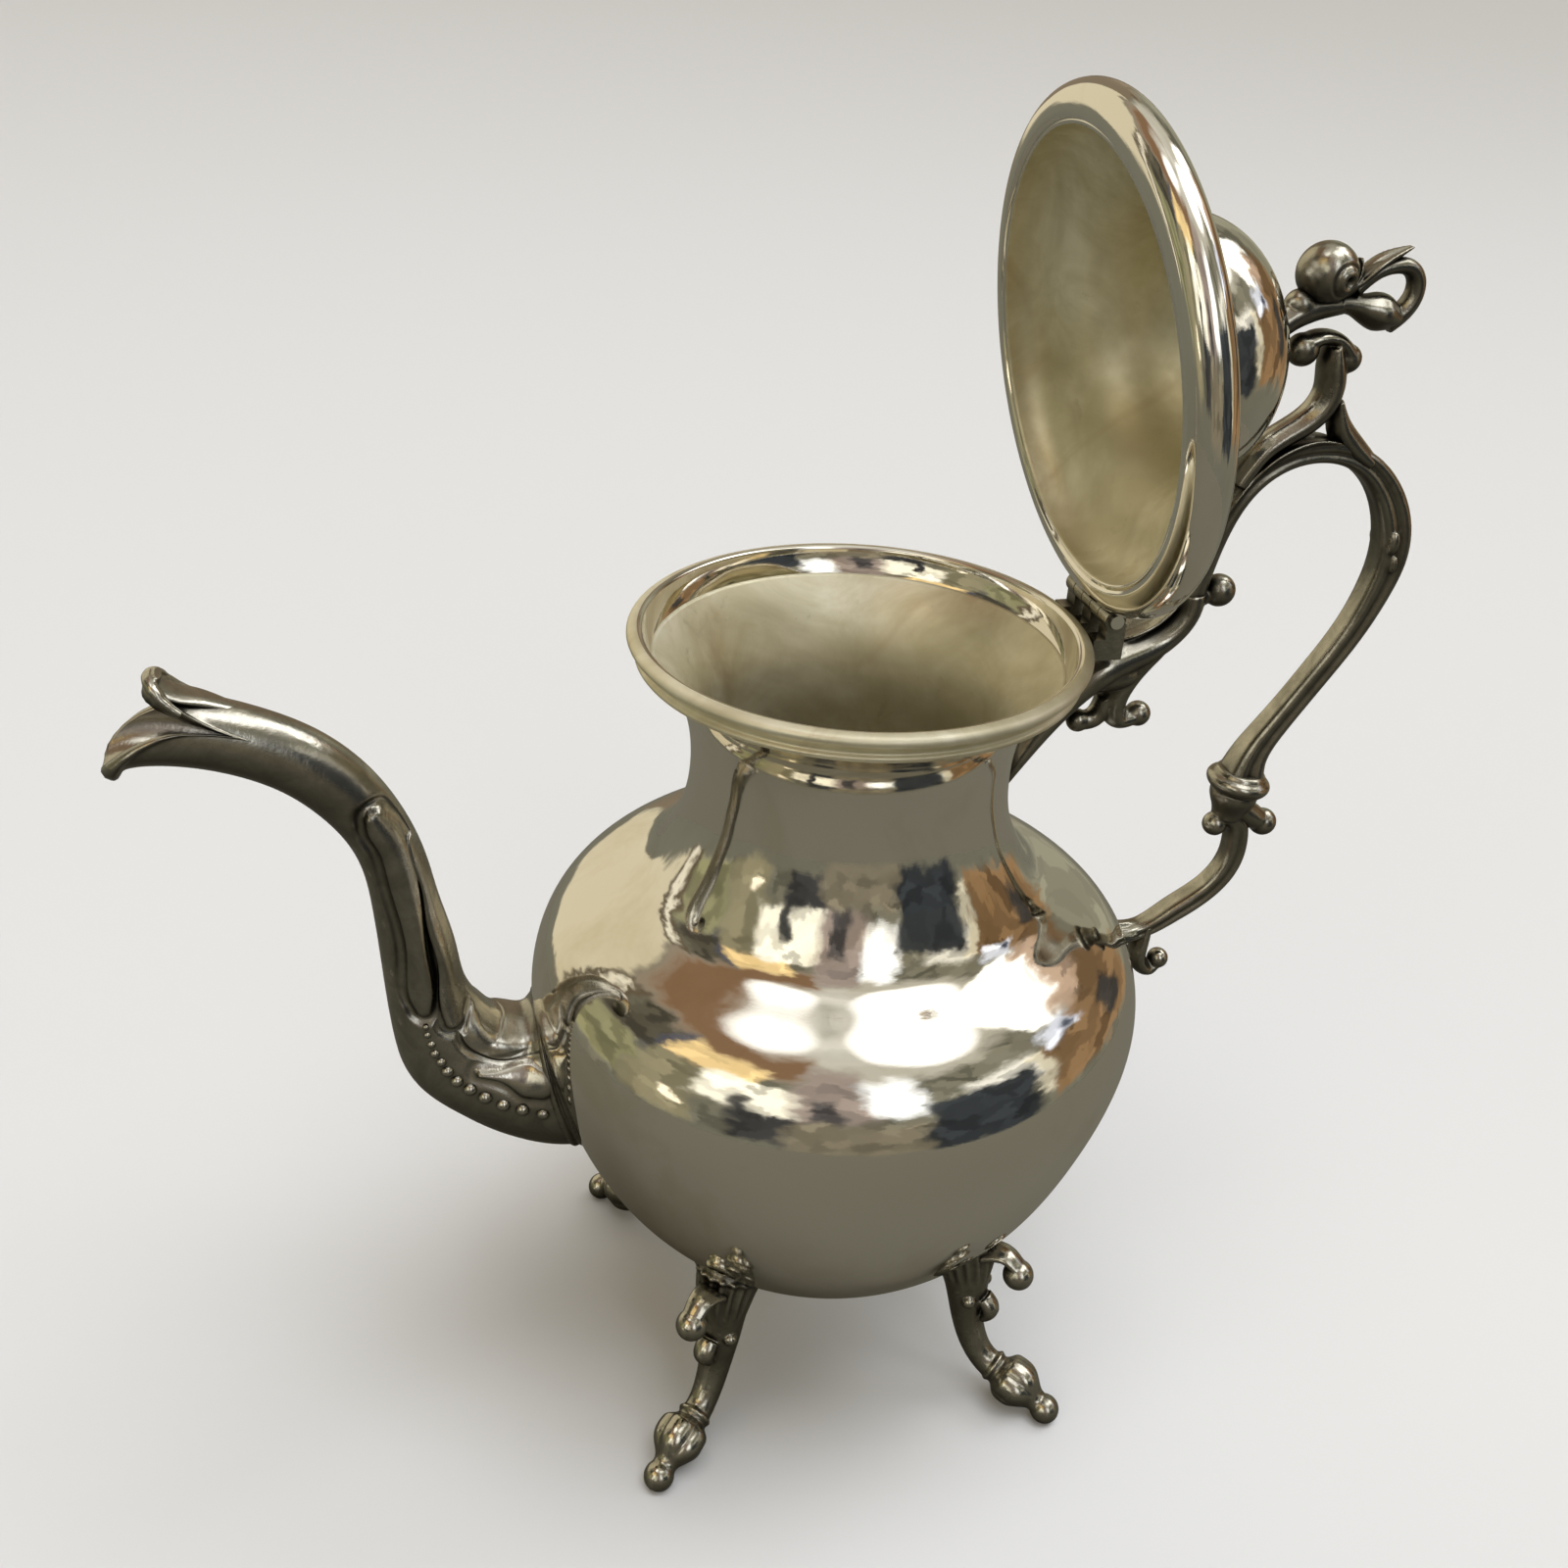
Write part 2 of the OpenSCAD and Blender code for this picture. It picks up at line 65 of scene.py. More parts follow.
def spline(points, gap=0.6):
    """Points about gap apart on the smooth curve through the rows; extra columns follow along."""
    p = np.array(points, float)
    chord = np.linalg.norm(np.diff(p[:, :2], axis=0), axis=1)
    knots = np.concatenate([[0], np.cumsum(chord ** 0.75)])
    h = np.diff(knots)
    n = len(p)
    a, b = np.eye(n), np.zeros_like(p)
    for i in range(1, n - 1):
        a[i, i - 1:i + 2] = h[i - 1], 2 * (h[i - 1] + h[i]), h[i]
        b[i] = 6 * ((p[i + 1] - p[i]) / h[i] - (p[i] - p[i - 1]) / h[i - 1])
    m = np.linalg.solve(a, b)
    spans = zip(knots, knots[1:])
    t = np.concatenate([np.linspace(k, l, 24, endpoint=False) for k, l in spans] + [knots[-1:]])
    i = np.clip(np.searchsorted(knots, t, side="right") - 1, 0, n - 2)
    s, e = (t - knots[i])[:, None], (knots[i + 1] - t)[:, None]
    hh = h[i][:, None]
    fine = (m[i] * e ** 3 + m[i + 1] * s ** 3) / (6 * hh)
    fine += (p[i] / hh - m[i] * hh / 6) * e + (p[i + 1] / hh - m[i + 1] * hh / 6) * s
    run = np.concatenate([[0], np.cumsum(np.linalg.norm(np.diff(fine[:, :2], axis=0), axis=1))])
    steps = max(2, round(run[-1] / gap) + 1)
    even = np.linspace(0, run[-1], steps)
    return np.stack([np.interp(even, run, fine[:, k]) for k in range(fine.shape[1])], axis=1)


def directions(path):
    """Unit directions of a plane curve at each of its points."""
    d = np.gradient(path[:, :2], axis=0)
    return d / np.linalg.norm(d, axis=1)[:, None]


def arc(centre, radius, start, end, steps):
    """Points of an arc in a lathe profile, angles in degrees from the outward axis."""
    turns = np.radians(np.linspace(start, end, steps))
    return [(centre[0] + radius * math.cos(t), centre[1] + radius * math.sin(t)) for t in turns]


def lengths_along(path):
    """Length of a plane curve up to each of its points."""
    return np.concatenate([[0], np.cumsum(np.hypot(*np.diff(path[:, :2], axis=0).T))])


def smoothstep(x, low, high):
    t = np.clip((x - low) / (high - low), 0, 1)
    return t * t * (3 - 2 * t)


# ---- Body outline, which the castings are fitted to ----

BODY_WALL = 1.2
BODY_SEGMENTS = 256
BODY_OUTLINE = [
    (43.6, 189.5), (39, 184), (36, 177.5), (34.6, 170), (34.5, 162), (36, 153), (39.5, 145),
    (45, 137.5), (53, 133), (61, 128), (66.3, 121.5), (69.5, 110), (68.5, 97.5), (64.5, 83),
    (58, 67), (47, 51.5), (32, 39.5), (16, 32.5), (0, 31),
]
body_curve = spline(BODY_OUTLINE, 0.8)
body_out = directions(body_curve) @ np.array([[0, 1], [-1, 0]])


def body_depth(points):
    """Signed height of points above the body's surface, with the nearest place and its normal."""
    r = np.hypot(points[:, 0], points[:, 1])
    rz = np.stack([r, points[:, 2]], axis=1)
    near = np.concatenate([
        np.argmin(((chunk[:, None] - body_curve[None]) ** 2).sum(2), axis=1)
        for chunk in np.array_split(rz, max(1, len(rz) // 20000))
    ])
    place, normal = body_curve[near], body_out[near]
    return ((rz - place) * normal).sum(1), place, normal


def hug_body(points, depth=0.5):
    """Brings what lies deeper in the body's wall than depth back to that depth."""
    height, place, normal = body_depth(points)
    deep = (height < -depth) & (points[:, 2] < BODY_OUTLINE[0][1])
    goal = place - depth * normal
    r = np.maximum(np.hypot(points[:, 0], points[:, 1]), 1e-6)
    moved = points.copy()
    moved[deep, 0] *= (goal[:, 0] / r)[deep]
    moved[deep, 1] *= (goal[:, 0] / r)[deep]
    moved[deep, 2] = goal[deep, 1]
    return moved


# ---- Solids as (points, faces) ----

def grid(rows, close_ends=True):
    """Tube over an array of rings, shaped (rings, sides, 3).

    Its ends are closed, or else the last ring joins the first.
    """
    rings, sides = rows.shape[:2]
    points = rows.reshape(-1, 3)
    last = (rings - 1) * sides
    steps = [(k, (k + 1) % sides) for k in range(sides)]
    faces = [
        (a + k, a + j, a + sides + j, a + sides + k)
        for a in range(0, last, sides) for k, j in steps
    ]
    if close_ends:
        points = np.vstack([points, rows[0].mean(0), rows[-1].mean(0)])
        start, end = rings * sides, rings * sides + 1
        for k, j in steps:
            faces += [(start, j, k), (end, last + k, last + j)]
    else:
        faces += [(last + k, last + j, j, k) for k, j in steps]
    return points, faces


def lathe(profile, segments):
    """Solid turned from a closed (r, z) profile; points at r = 0 become one pole."""
    profile = np.array(profile, float)
    points, rows, faces = [], [], []
    for r, z in profile:
        if r < 1e-6:
            rows.append([len(points)] * segments)
            points.append((0, 0, z))
            continue
        rows.append(list(range(len(points), len(points) + segments)))
        for k in range(segments):
            turn = 2 * math.pi * k / segments
            points.append((r * math.cos(turn), r * math.sin(turn), z))
    for a, b in zip(rows, rows[1:] + rows[:1]):
        for k in range(segments):
            j = (k + 1) % segments
            face = [a[k], a[j], b[j], b[k]]
            face = [v for i, v in enumerate(face) if v != face[i - 1]]
            if len(face) > 2:
                faces.append(tuple(face))
    return np.array(points, float), faces


def round_section(turn, along):
    return np.cos(turn), np.sin(turn)


def sweep(rows, section=round_section, gap=0.6, sides=40):
    """Solid along rows of x, z, half thickness in the plane and half width across it."""
    path = spline(rows, gap)
    path[:, 2:] = np.maximum(path[:, 2:], 0.15)
    way = directions(path)
    turn = np.linspace(0, 2 * math.pi, sides, endpoint=False)[None]
    along = np.linspace(0, 1, len(path))[:, None]
    up, out = section(turn, along)
    u, v = up * path[:, 2:3], out * path[:, 3:4]
    rings = np.stack([
        path[:, 0:1] - way[:, 1:2] * u, v + 0 * u, path[:, 1:2] + way[:, 0:1] * u,
    ], axis=2)
    return grid(rings)


def orb(centre, radii, steps=28):
    """Closed ball or egg round a centre (x, z) or (x, y, z)."""
    x, y, z = centre if len(centre) == 3 else (centre[0], 0, centre[1])
    rx, ry, rz = radii if hasattr(radii, "__len__") else (radii,) * 3
    tilt = np.linspace(0.02, math.pi - 0.02, steps)[:, None]
    turn = np.linspace(0, 2 * math.pi, 2 * steps, endpoint=False)[None]
    rings = np.stack([
        x + rx * np.sin(tilt) * np.cos(turn), y + ry * np.sin(tilt) * np.sin(turn),
        z + rz * np.cos(tilt) + 0 * turn,
    ], axis=2)
    points, faces = grid(rings)
    return points, [tuple(reversed(f)) for f in faces]


def joined(parts):
    points, faces = [], []
    for p, f in parts:
        start = sum(len(q) for q in points)
        points.append(np.asarray(p, float))
        faces += [tuple(i + start for i in face) for face in f]
    return np.vstack(points), faces


# ---- Blender objects ----

def open_lid(points):
    """Turns points of the closed lid about the hinge to where the lid stands."""
    q = points - HINGE
    c, s = math.cos(LID_OPEN), math.sin(LID_OPEN)
    turned = np.stack([c * q[:, 0] + s * q[:, 2], q[:, 1], -s * q[:, 0] + c * q[:, 2]], axis=1)
    return turned + HINGE


def turned_about_axis(points, degrees):
    c, s = math.cos(math.radians(degrees)), math.sin(math.radians(degrees))
    return np.stack([
        c * points[:, 0] - s * points[:, 1], s * points[:, 0] + c * points[:, 1], points[:, 2],
    ], axis=1)


def new_object(name, data):
    made = bpy.data.objects.new(name, data)
    bpy.context.scene.collection.objects.link(made)
    return made


def make_object(name, points, faces):
    mesh = bpy.data.meshes.new(name)
    placed = (np.asarray(points) + [AXIS_X, 0, 0]) * MM
    mesh.from_pydata([tuple(p) for p in placed], [], faces)
    mesh.validate()
    mesh.shade_smooth()
    return new_object(name, mesh)


def applied(piece):
    """Replaces a piece's mesh by what its modifiers make of it."""
    graph = bpy.context.evaluated_depsgraph_get()
    mesh = bpy.data.meshes.new_from_object(piece.evaluated_get(graph))
    old = piece.data
    piece.modifiers.clear()
    piece.data = mesh
    mesh.name = piece.name
    mesh.shade_smooth()
    bpy.data.meshes.remove(old)
    return piece


def mesh_points(piece):
    co = np.zeros(len(piece.data.vertices) * 3)
    piece.data.vertices.foreach_get("co", co)
    return co.reshape(-1, 3) / MM - [AXIS_X, 0, 0]


def set_points(piece, points):
    placed = (points + [AXIS_X, 0, 0]) * MM
    piece.data.vertices.foreach_set("co", placed.astype(np.float32).ravel())
    piece.data.update()


def cast(name, parts, voxel=0.36, smoothing=4, hug=True):
    """One casting from overlapping closed parts, melted together and smoothed."""
    piece = make_object(name, *joined(parts))
    melt = piece.modifiers.new("melt", "REMESH")
    melt.mode = "VOXEL"
    melt.voxel_size = voxel * MM
    soften = piece.modifiers.new("soften", "SMOOTH")
    soften.factor = 0.5
    soften.iterations = smoothing
    applied(piece)
    if hug:
        set_points(piece, hug_body(mesh_points(piece)))
    return piece


def finish_piece(piece, body, nodes, slot, *materials):
    """Gives a piece its materials and says what it is part of."""
    for material in materials:
        piece.data.materials.append(material)
    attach(piece, body)
    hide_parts(*nodes)


# ---- Materials ----

def new_material(name):
    material = bpy.data.materials.new(name)
    material.use_nodes = True
    tree = material.node_tree
    return material, tree, tree.nodes["Principled BSDF"]


def feed(tree, socket, value):
    """Links a socket to another node's, or sets it to a plain value."""
    if isinstance(value, bpy.types.NodeSocket):
        tree.links.new(value, socket)
    else:
        socket.default_value = value


def add_node(tree, kind, inputs=None, **settings):
    node = tree.nodes.new(kind)
    for key, value in settings.items():
        setattr(node, key, value)
    for key, value in (inputs or {}).items():
        feed(tree, node.inputs[key], value)
    return node


def noise(tree, scale, detail=4.0, roughness=0.5, distortion=0.0, stretch=None):
    where = add_node(tree, "ShaderNodeTexCoord").outputs["Object"]
    if stretch:
        where = add_node(tree, "ShaderNodeMapping", {"Vector": where, "Scale": stretch}).outputs[0]
    made = add_node(tree, "ShaderNodeTexNoise", {
        "Vector": where, "Scale": scale, "Detail": detail, "Roughness": roughness,
        "Distortion": distortion,
    })
    return made.outputs["Fac"]


def between(tree, value, low, high, to_low=0.0, to_high=1.0):
    made = add_node(tree, "ShaderNodeMapRange", {
        "Value": value, "From Min": low, "From Max": high, "To Min": to_low, "To Max": to_high,
    })
    return made.outputs["Result"]


def mixed(tree, factor, a, b, blend="MIX"):
    made = add_node(tree, "ShaderNodeMix", data_type="RGBA", blend_type=blend)
    for place, value in ((0, factor), (6, a), (7, b)):
        feed(tree, made.inputs[place], value)
    return made.outputs[2]


def worked_out(tree, operation, a, b):
    made = add_node(tree, "ShaderNodeMath", operation=operation)
    feed(tree, made.inputs[0], a)
    feed(tree, made.inputs[1], b)
    return made.outputs[0]


def bump(tree, height, distance, strength=1.0, under=None):
    made = add_node(tree, "ShaderNodeBump", {
        "Height": height, "Distance": distance, "Strength": strength,
    })
    if under is not None:
        tree.links.new(under, made.inputs["Normal"])
    return made.outputs["Normal"]


def finish_silver(tree, shader, colour, rough, normal, metallic=1.0):
    for key, value in (("Base Color", colour), ("Roughness", rough), ("Normal", normal),
                       ("Metallic", metallic)):
        feed(tree, shader.inputs[key], value)


def polished_silver():
    """Bright silver plate: faint waves of hand polishing, thin tarnish clouds and fine wear."""
    material, tree, shader = new_material("polished_silver")
    clouds = between(tree, noise(tree, 24, 5, 0.6, 0.6), 0.5, 0.74)
    colour = mixed(tree, clouds, (0.86, 0.83, 0.76, 1), (0.72, 0.66, 0.54, 1))
    grain = noise(tree, 900, 3, 0.7)
    smear = between(tree, noise(tree, 60, 6, 0.65, 1.2), 0.35, 0.75, 0.03, 0.10)
    rough = worked_out(tree, "MULTIPLY", smear, between(tree, grain, 0.3, 0.7, 0.85, 1.15))
    waves = bump(tree, noise(tree, 34, 2, 0.45), 0.0010, 0.5)
    scratches = noise(tree, 600, 2, 0.6, 0, (1, 1, 5))
    finish_silver(tree, shader, colour, rough, bump(tree, scratches, 0.00001, 0.3, waves))
    return material


def cast_silver(name, bright, dark, reach=0.0035):
    """Cast silver plate: black in the recesses, bright on the high points, partly where hands have
    worn them and partly as a painted highlight, and darker on faces that look down as painted
    shade.
    """
    material, tree, shader = new_material(name)
    shade = add_node(tree, "ShaderNodeAmbientOcclusion", {"Distance": reach}, samples=8)
    depth = between(tree, shade.outputs["AO"], 0.45, 1.0)
    surface = add_node(tree, "ShaderNodeNewGeometry").outputs
    # Brighter on the high points: partly wear, partly a painted highlight.
    raised = between(tree, surface["Pointiness"], 0.46, 0.56)
    clean_and_lit = worked_out(tree, "MULTIPLY", depth, between(tree, raised, 0, 1, 0.5, 1.0))
    # Faces that look down are made darker: painted shade.
    faces = add_node(tree, "ShaderNodeSeparateXYZ", {"Vector": surface["Normal"]}).outputs
    clean_and_lit = worked_out(tree, "MULTIPLY", clean_and_lit, between(tree, faces["Z"], -0.5, 0.65, 0.12, 1.0))
    patches = between(tree, noise(tree, 130, 6, 0.66, 0.8), 0.3, 0.7, 0.6, 1.15)
    clean_and_lit = worked_out(tree, "MULTIPLY", clean_and_lit, patches)
    # Colour runs from dark to bright with the recesses, wear, patches, painted highlight and
    # painted shade.
    colour = mixed(tree, between(tree, clean_and_lit, 0.0, 0.95), dark, bright)
    rough = between(tree, clean_and_lit, 0.1, 0.9, 0.36, 0.12)
    pits = bump(tree, noise(tree, 360, 4, 0.65), 0.0002, 0.5)
    grain = bump(tree, noise(tree, 2400, 2, 0.5), 0.00002, 0.3, pits)
    finish_silver(tree, shader, colour, rough, grain)
    return material


def tarnished_inside():
    """Unpolished inside of the pot and the lid: satin, yellow-olive and blotched."""
    material, tree, shader = new_material("tarnished_inside")
    clouds = between(tree, noise(tree, 34, 6, 0.66, 1.4), 0.34, 0.66)
    colour = mixed(tree, clouds, (0.74, 0.69, 0.50, 1), (0.98, 0.95, 0.80, 1))
    patch = between(tree, noise(tree, 13, 5, 0.6, 0.9), 0.42, 0.62, 0.0, 0.75)
    colour = mixed(tree, patch, colour, (0.55, 0.50, 0.33, 1))
    stain = between(tree, noise(tree, 17, 4, 0.55, 2.0), 0.56, 0.72, 0.0, 0.8)
    colour = mixed(tree, stain, colour, (0.50, 0.39, 0.24, 1))
    specks = between(tree, noise(tree, 130, 5, 0.7, 0.5), 0.62, 0.76, 0.0, 0.5)
    colour = mixed(tree, specks, colour, (0.42, 0.38, 0.25, 1))
    rough = between(tree, noise(tree, 70, 6, 0.7, 1.0), 0.3, 0.7, 0.40, 0.58)
    soft = bump(tree, noise(tree, 45, 5, 0.6), 0.0006, 0.35)
    grain = bump(tree, noise(tree, 1500, 3, 0.6), 0.00002, 0.5, soft)
    finish_silver(tree, shader, colour, rough, grain, metallic=0.75)
    return material


POLISHED = polished_silver()
CAST = cast_silver("cast_silver", (0.66, 0.63, 0.53, 1), (0.03, 0.027, 0.021, 1))
SPOUT_CAST = cast_silver("spout_silver", (0.78, 0.75, 0.66, 1), (0.05, 0.046, 0.036, 1), 0.004)
INSIDE = tarnished_inside()


# ---- Body and rim ----

def inner_faces(piece, is_inside):
    """Gives the faces that is_inside picks, by centre and normal, the piece's second material."""
    for face in piece.data.polygons:
        centre = np.array(face.center) / MM - [AXIS_X, 0, 0]
        if is_inside(centre, face.normal):
            face.material_index = 1


def make_body():
    inner = body_curve - BODY_WALL * body_out
    inner[:, 0] = np.maximum(inner[:, 0], 0)
    profile = np.vstack([body_curve, inner[::-1]])
    piece = make_object("pot_body", *lathe(profile, BODY_SEGMENTS))
    holes = strainer_holes()
    cut = piece.modifiers.new("strainer", "BOOLEAN")
    cut.operation, cut.solver, cut.object = "DIFFERENCE", "EXACT", holes
    applied(piece)
    bpy.data.objects.remove(holes)
    finish_piece(piece, "pot", ["body_shell"], "silver", POLISHED, INSIDE)
    inner_faces(piece, lambda c, n: body_depth(c[None])[0][0] < -BODY_WALL / 2)


def strainer_holes():
    """Rods through the body's wall behind the spout, in a round pattern."""
    rows, pitch, radius, middle_z = (3, 4, 5, 4, 3), 5.0, 1.6, 88
    outside_x, inside_x = -90, -40
    turn = np.linspace(0, 2 * math.pi, 24, endpoint=False)
    parts = []
    for row, count in enumerate(rows):
        z = middle_z + (row - (len(rows) - 1) / 2) * pitch * math.sin(math.radians(60))
        for k in range(count):
            y = (k - (count - 1) / 2) * pitch
            circle = [y + radius * np.cos(turn), z + radius * np.sin(turn)]
            ends = [np.stack([0 * turn + x, *circle], axis=1) for x in (outside_x, inside_x)]
            parts.append(grid(np.array(ends)))
    return make_object("strainer_rods", *joined(parts))


def make_rim():
    """Moulding round the mouth: a bright lip, a dark cove under it and a small bead."""
    outside = spline([
        (45.0, 195.6), (45.8, 196), (46.8, 195.9), (47.8, 195.4), (48.2, 194.5), (47.7, 193.6),
        (46.7, 192.9), (46.0, 192.1), (45.9, 191.4), (46.5, 190.9), (46.6, 190.2), (45.8, 189.6),
        (44.6, 189.3),
    ], 0.22)
    inside = spline([(43.4, 189.0), (42.2, 189.0), (42.9, 190.1), (43.9, 191.8), (44.6, 193.7),
                     (45.0, 195.6)], 0.4)
    profile = np.vstack([outside, inside[:-1]])
    piece = make_object("rim_moulding_skin", *lathe(profile, BODY_SEGMENTS))
    finish_piece(piece, "pot", ["rim_moulding"], "silver", POLISHED, INSIDE)
    inner_faces(piece, lambda c, n: c[0] * n[0] + c[1] * n[1] < 0)


# ---- Spout ----

SPOUT_LINE = [
    (-56, 92, 21.4, 16.8), (-66, 90.2, 20.2, 16.2), (-73.7, 90.7, 16.4, 14.2),
    (-80.4, 93.6, 13.9, 12.6), (-86, 98, 12.8, 10.7), (-89.6, 104.7, 11, 9.4),
    (-92.5, 115.1, 8.7, 8), (-93.7, 126, 8, 7),
    (-95.4, 138, 7, 6.4), (-97, 148, 6.6, 6.2), (-100, 157, 6.6, 6.2), (-105.5, 166, 7, 6.4),
    (-113.5, 173.8, 7.2, 6.6), (-123.5, 179.2, 7.2, 6.8), (-133, 182.2, 7.2, 7.4),
    (-141, 182.8, 6.7, 7.8), (-149, 181.2, 5.6, 7.4), (-155, 179.2, 4.6, 6.8),
]
SPOUT_WALL = 1.5
# Where the mouth's edge lies, as x against the angle up from the spout's lower side.
MOUTH_EDGE = [
    (0, -150.8), (30, -150.6), (50, -149.8), (66, -148.2), (80, -145.8), (92, -142.8),
    (104, -139.2), (110, -136), (114, -131.2), (117.5, -126.4), (121, -129.8), (126, -132.8),
    (132, -135.4), (140, -137.4), (150, -138.6), (165, -139.2), (180, -139.4),
]
NOTCH_ANGLE = 117.5
# Ribs and small ridges on each side of the spout: x, z and half width.
TONGUE = [
    (-93.4, 115.2, 1.6), (-93.7, 118.1, 2.5), (-94, 127.9, 2.2), (-94.5, 137.5, 2.4),
    (-95.6, 147.3, 3.0), (-97.5, 156.7, 2.9), (-99.3, 160.3, 2.7), (-100, 162.3, 2.0),
]
SECOND_RIB = [
    (-87.3, 111.8, 2.0), (-87.3, 116, 2.9), (-87.9, 125.3, 2.1), (-89.7, 135.6, 1.95),
    (-90.7, 145.1, 1.6), (-92.6, 152.4, 1.4), (-93.2, 155.8, 1.0),
]
THIRD_RIB = [(-82.4, 113.6, 1.0), (-82.9, 118, 1.3), (-83.9, 124, 0.6)]
LOWER_CURL = [
    (-82.5, 98.7, 0.7), (-78.3, 98.2, 1.3), (-75.2, 97.6, 2.6), (-72.4, 96.8, 3.8),
    (-70.2, 96.4, 3.4),
]
BARREL_AT, BARREL_RADII = (-76, 108.4), (9.8, 7.4)
# Beads along the spout's foot: x, z and radius.
BEADS = [
    (-93.3, 110.8, 0.75), (-93.1, 108.9, 0.8), (-92.4, 106.5, 0.95), (-91.8, 104.1, 1.05),
    (-90.6, 101.9, 1.15), (-89.4, 99.4, 1.4), (-87.5, 96.9, 1.45), (-84.8, 94.8, 1.6),
    (-81.7, 92.9, 1.65), (-77.9, 90.9, 1.65), (-73.8, 89.7, 1.6), (-69.5, 88.8, 1.5),
]


def distance_to(line, x, z):
    """Distance of each place to a line of points, and the line's own values at the nearest."""
    near = np.argmin((x[..., None] - line[:, 0]) ** 2 + (z[..., None] - line[:, 1]) ** 2, axis=-1)
    before = line[np.maximum(near - 1, 0)]
    step = line[np.minimum(near + 1, len(line) - 1)] - before
    share = (x - before[..., 0]) * step[..., 0] + (z - before[..., 1]) * step[..., 1]
    share = np.clip(share / (step[..., 0] ** 2 + step[..., 1] ** 2), 0, 1)
    place = before + share[..., None] * step
    return np.hypot(x - place[..., 0], z - place[..., 1]), place


def ridge(distance, width):
    """A smooth hump of height 1 that ends at width."""
    return np.clip(1 - (distance / width) ** 2, 0, 1) ** 2


def spout_relief(x, z):
    """Height of the cast pattern on the sides of the spout."""
    rise, cut = 0 * x, 0 * x
    for line, tall, groove in ((TONGUE, 1.1, 1.3), (SECOND_RIB, 1.1, 0.9),
                               (THIRD_RIB, 0.6, 0.4), (LOWER_CURL, 1.2, 0.5)):
        away, place = distance_to(spline(line, 0.3), x, z)
        half = place[..., 2]
        rise = np.maximum(rise, tall * np.sqrt(np.clip(1 - (away / half) ** 2, 0, 1)))
        cut = np.maximum(cut, groove * ridge(away - half - 1.1, 1.9))
    barrel = np.hypot((x - BARREL_AT[0]) / BARREL_RADII[0], (z - BARREL_AT[1]) / BARREL_RADII[1])
    rise = np.maximum(rise, 1.6 * smoothstep(-barrel, -1.0, -0.5))
    cut = np.maximum(cut, 0.9 * ridge(barrel - 1.1, 0.13))
    return rise - cut * (1 - smoothstep(rise, 0, 0.4))


def spout_rows(shrink, turns, starts, ends, rings=300):
    """Rings of the spout's skin, each side of it running from its own start to its own end."""
    path = spline(SPOUT_LINE, 0.25)
    path[:, 2:] -= shrink
    way = directions(path)
    run = lengths_along(path)
    share = np.linspace(0, 1, rings)[:, None]
    s = starts + (ends - starts) * share
    column = [np.interp(s, run, c) for c in (*path.T, *way.T)]
    x, z, u, v, wx, wz = column
    up, out = np.cos(turns), np.sin(turns)
    return x - wz * u * up, v * out + 0 * s, z + wx * u * up, s


def spout_turns(count=124):
    """Angles round the spout, closer together at the corners of the mouth."""
    fine = np.linspace(0, 180, 2000)
    share = np.cumsum(1 + 5 * np.exp(-((fine - NOTCH_ANGLE) / 7) ** 2))
    share = (share - share[0]) / (share[-1] - share[0])
    half = np.interp(np.linspace(0, 1, count), share, fine)
    return np.radians(np.concatenate([half, 360 - half[-2:0:-1]]))[None]


def make_spout():
    turns = spout_turns()
    path = spline(SPOUT_LINE, 0.25)
    run = lengths_along(path)
    opening = np.degrees(np.abs((turns + math.pi) % (2 * math.pi) - math.pi))
    edge_angle, edge_x = zip(*MOUTH_EDGE)
    edge = np.interp(opening, edge_angle, edge_x)
    ends = np.interp(-edge, -path[:, 0], run)
    skins = []
    for shrink in (0.0, SPOUT_WALL):
        starts = spout_starts(shrink, turns, run[-1])
        x, y, z, s = spout_rows(shrink, turns, starts, ends)
        skins.append(shaped_mouth(x, y, z, s, turns, ends, shrink))
    outer, inner = skins
    side = smoothstep(np.abs(np.sin(turns)), 0.25, 0.6)
    outer[..., 1] += np.sign(outer[..., 1]) * side * spout_relief(outer[..., 0], outer[..., 2])
    outer += rolled_edge(outer - inner, turns)
    lip = (outer[-1] + inner[-1]) / 2 + 0.45 * (outer[-1] - outer[-3]) / np.linalg.norm(
        outer[-1] - outer[-3], axis=1)[:, None]
    rows = np.concatenate([outer, lip[None], inner[::-1]])
    beads = [orb((x, y, z), r) for x, y, z, r in bead_places(outer)]
    skin = grid(rows, close_ends=False)
    piece = make_object("spout_casting", *joined([skin, *beads]))
    finish_piece(piece, "pot", ["spout_half_left", "spout_half_right"], "silver", SPOUT_CAST)
    return outer


def rolled_edge(wall, turns):
    """Swells the last rings outwards into a rounded lip, thickest on the lower side."""
    length, lip = 330, 3.5
    out = wall / np.maximum(np.linalg.norm(wall, axis=2, keepdims=True), 1e-6)
    to_edge = np.linspace(1, 0, len(wall))[:, None, None] * length
    thick = 0.7 + 1.0 * np.clip(np.cos(turns), 0, 1)[..., None]
    return out * thick * np.exp(-((to_edge - lip) / lip) ** 2)


def spout_starts(shrink, turns, length):
    """How far along the spout each side of it comes out of the body's wall."""
    full = np.full(turns.shape, length)
    x, y, z, s = spout_rows(shrink, turns, np.zeros(turns.shape), full * 0.4, 400)
    points = np.stack([x, y, z], axis=2)
    height = body_depth(points.reshape(-1, 3))[0].reshape(x.shape)
    outside = height > -0.7
    first = np.argmax(outside, axis=0)
    return s[first, np.arange(s.shape[1])][None]


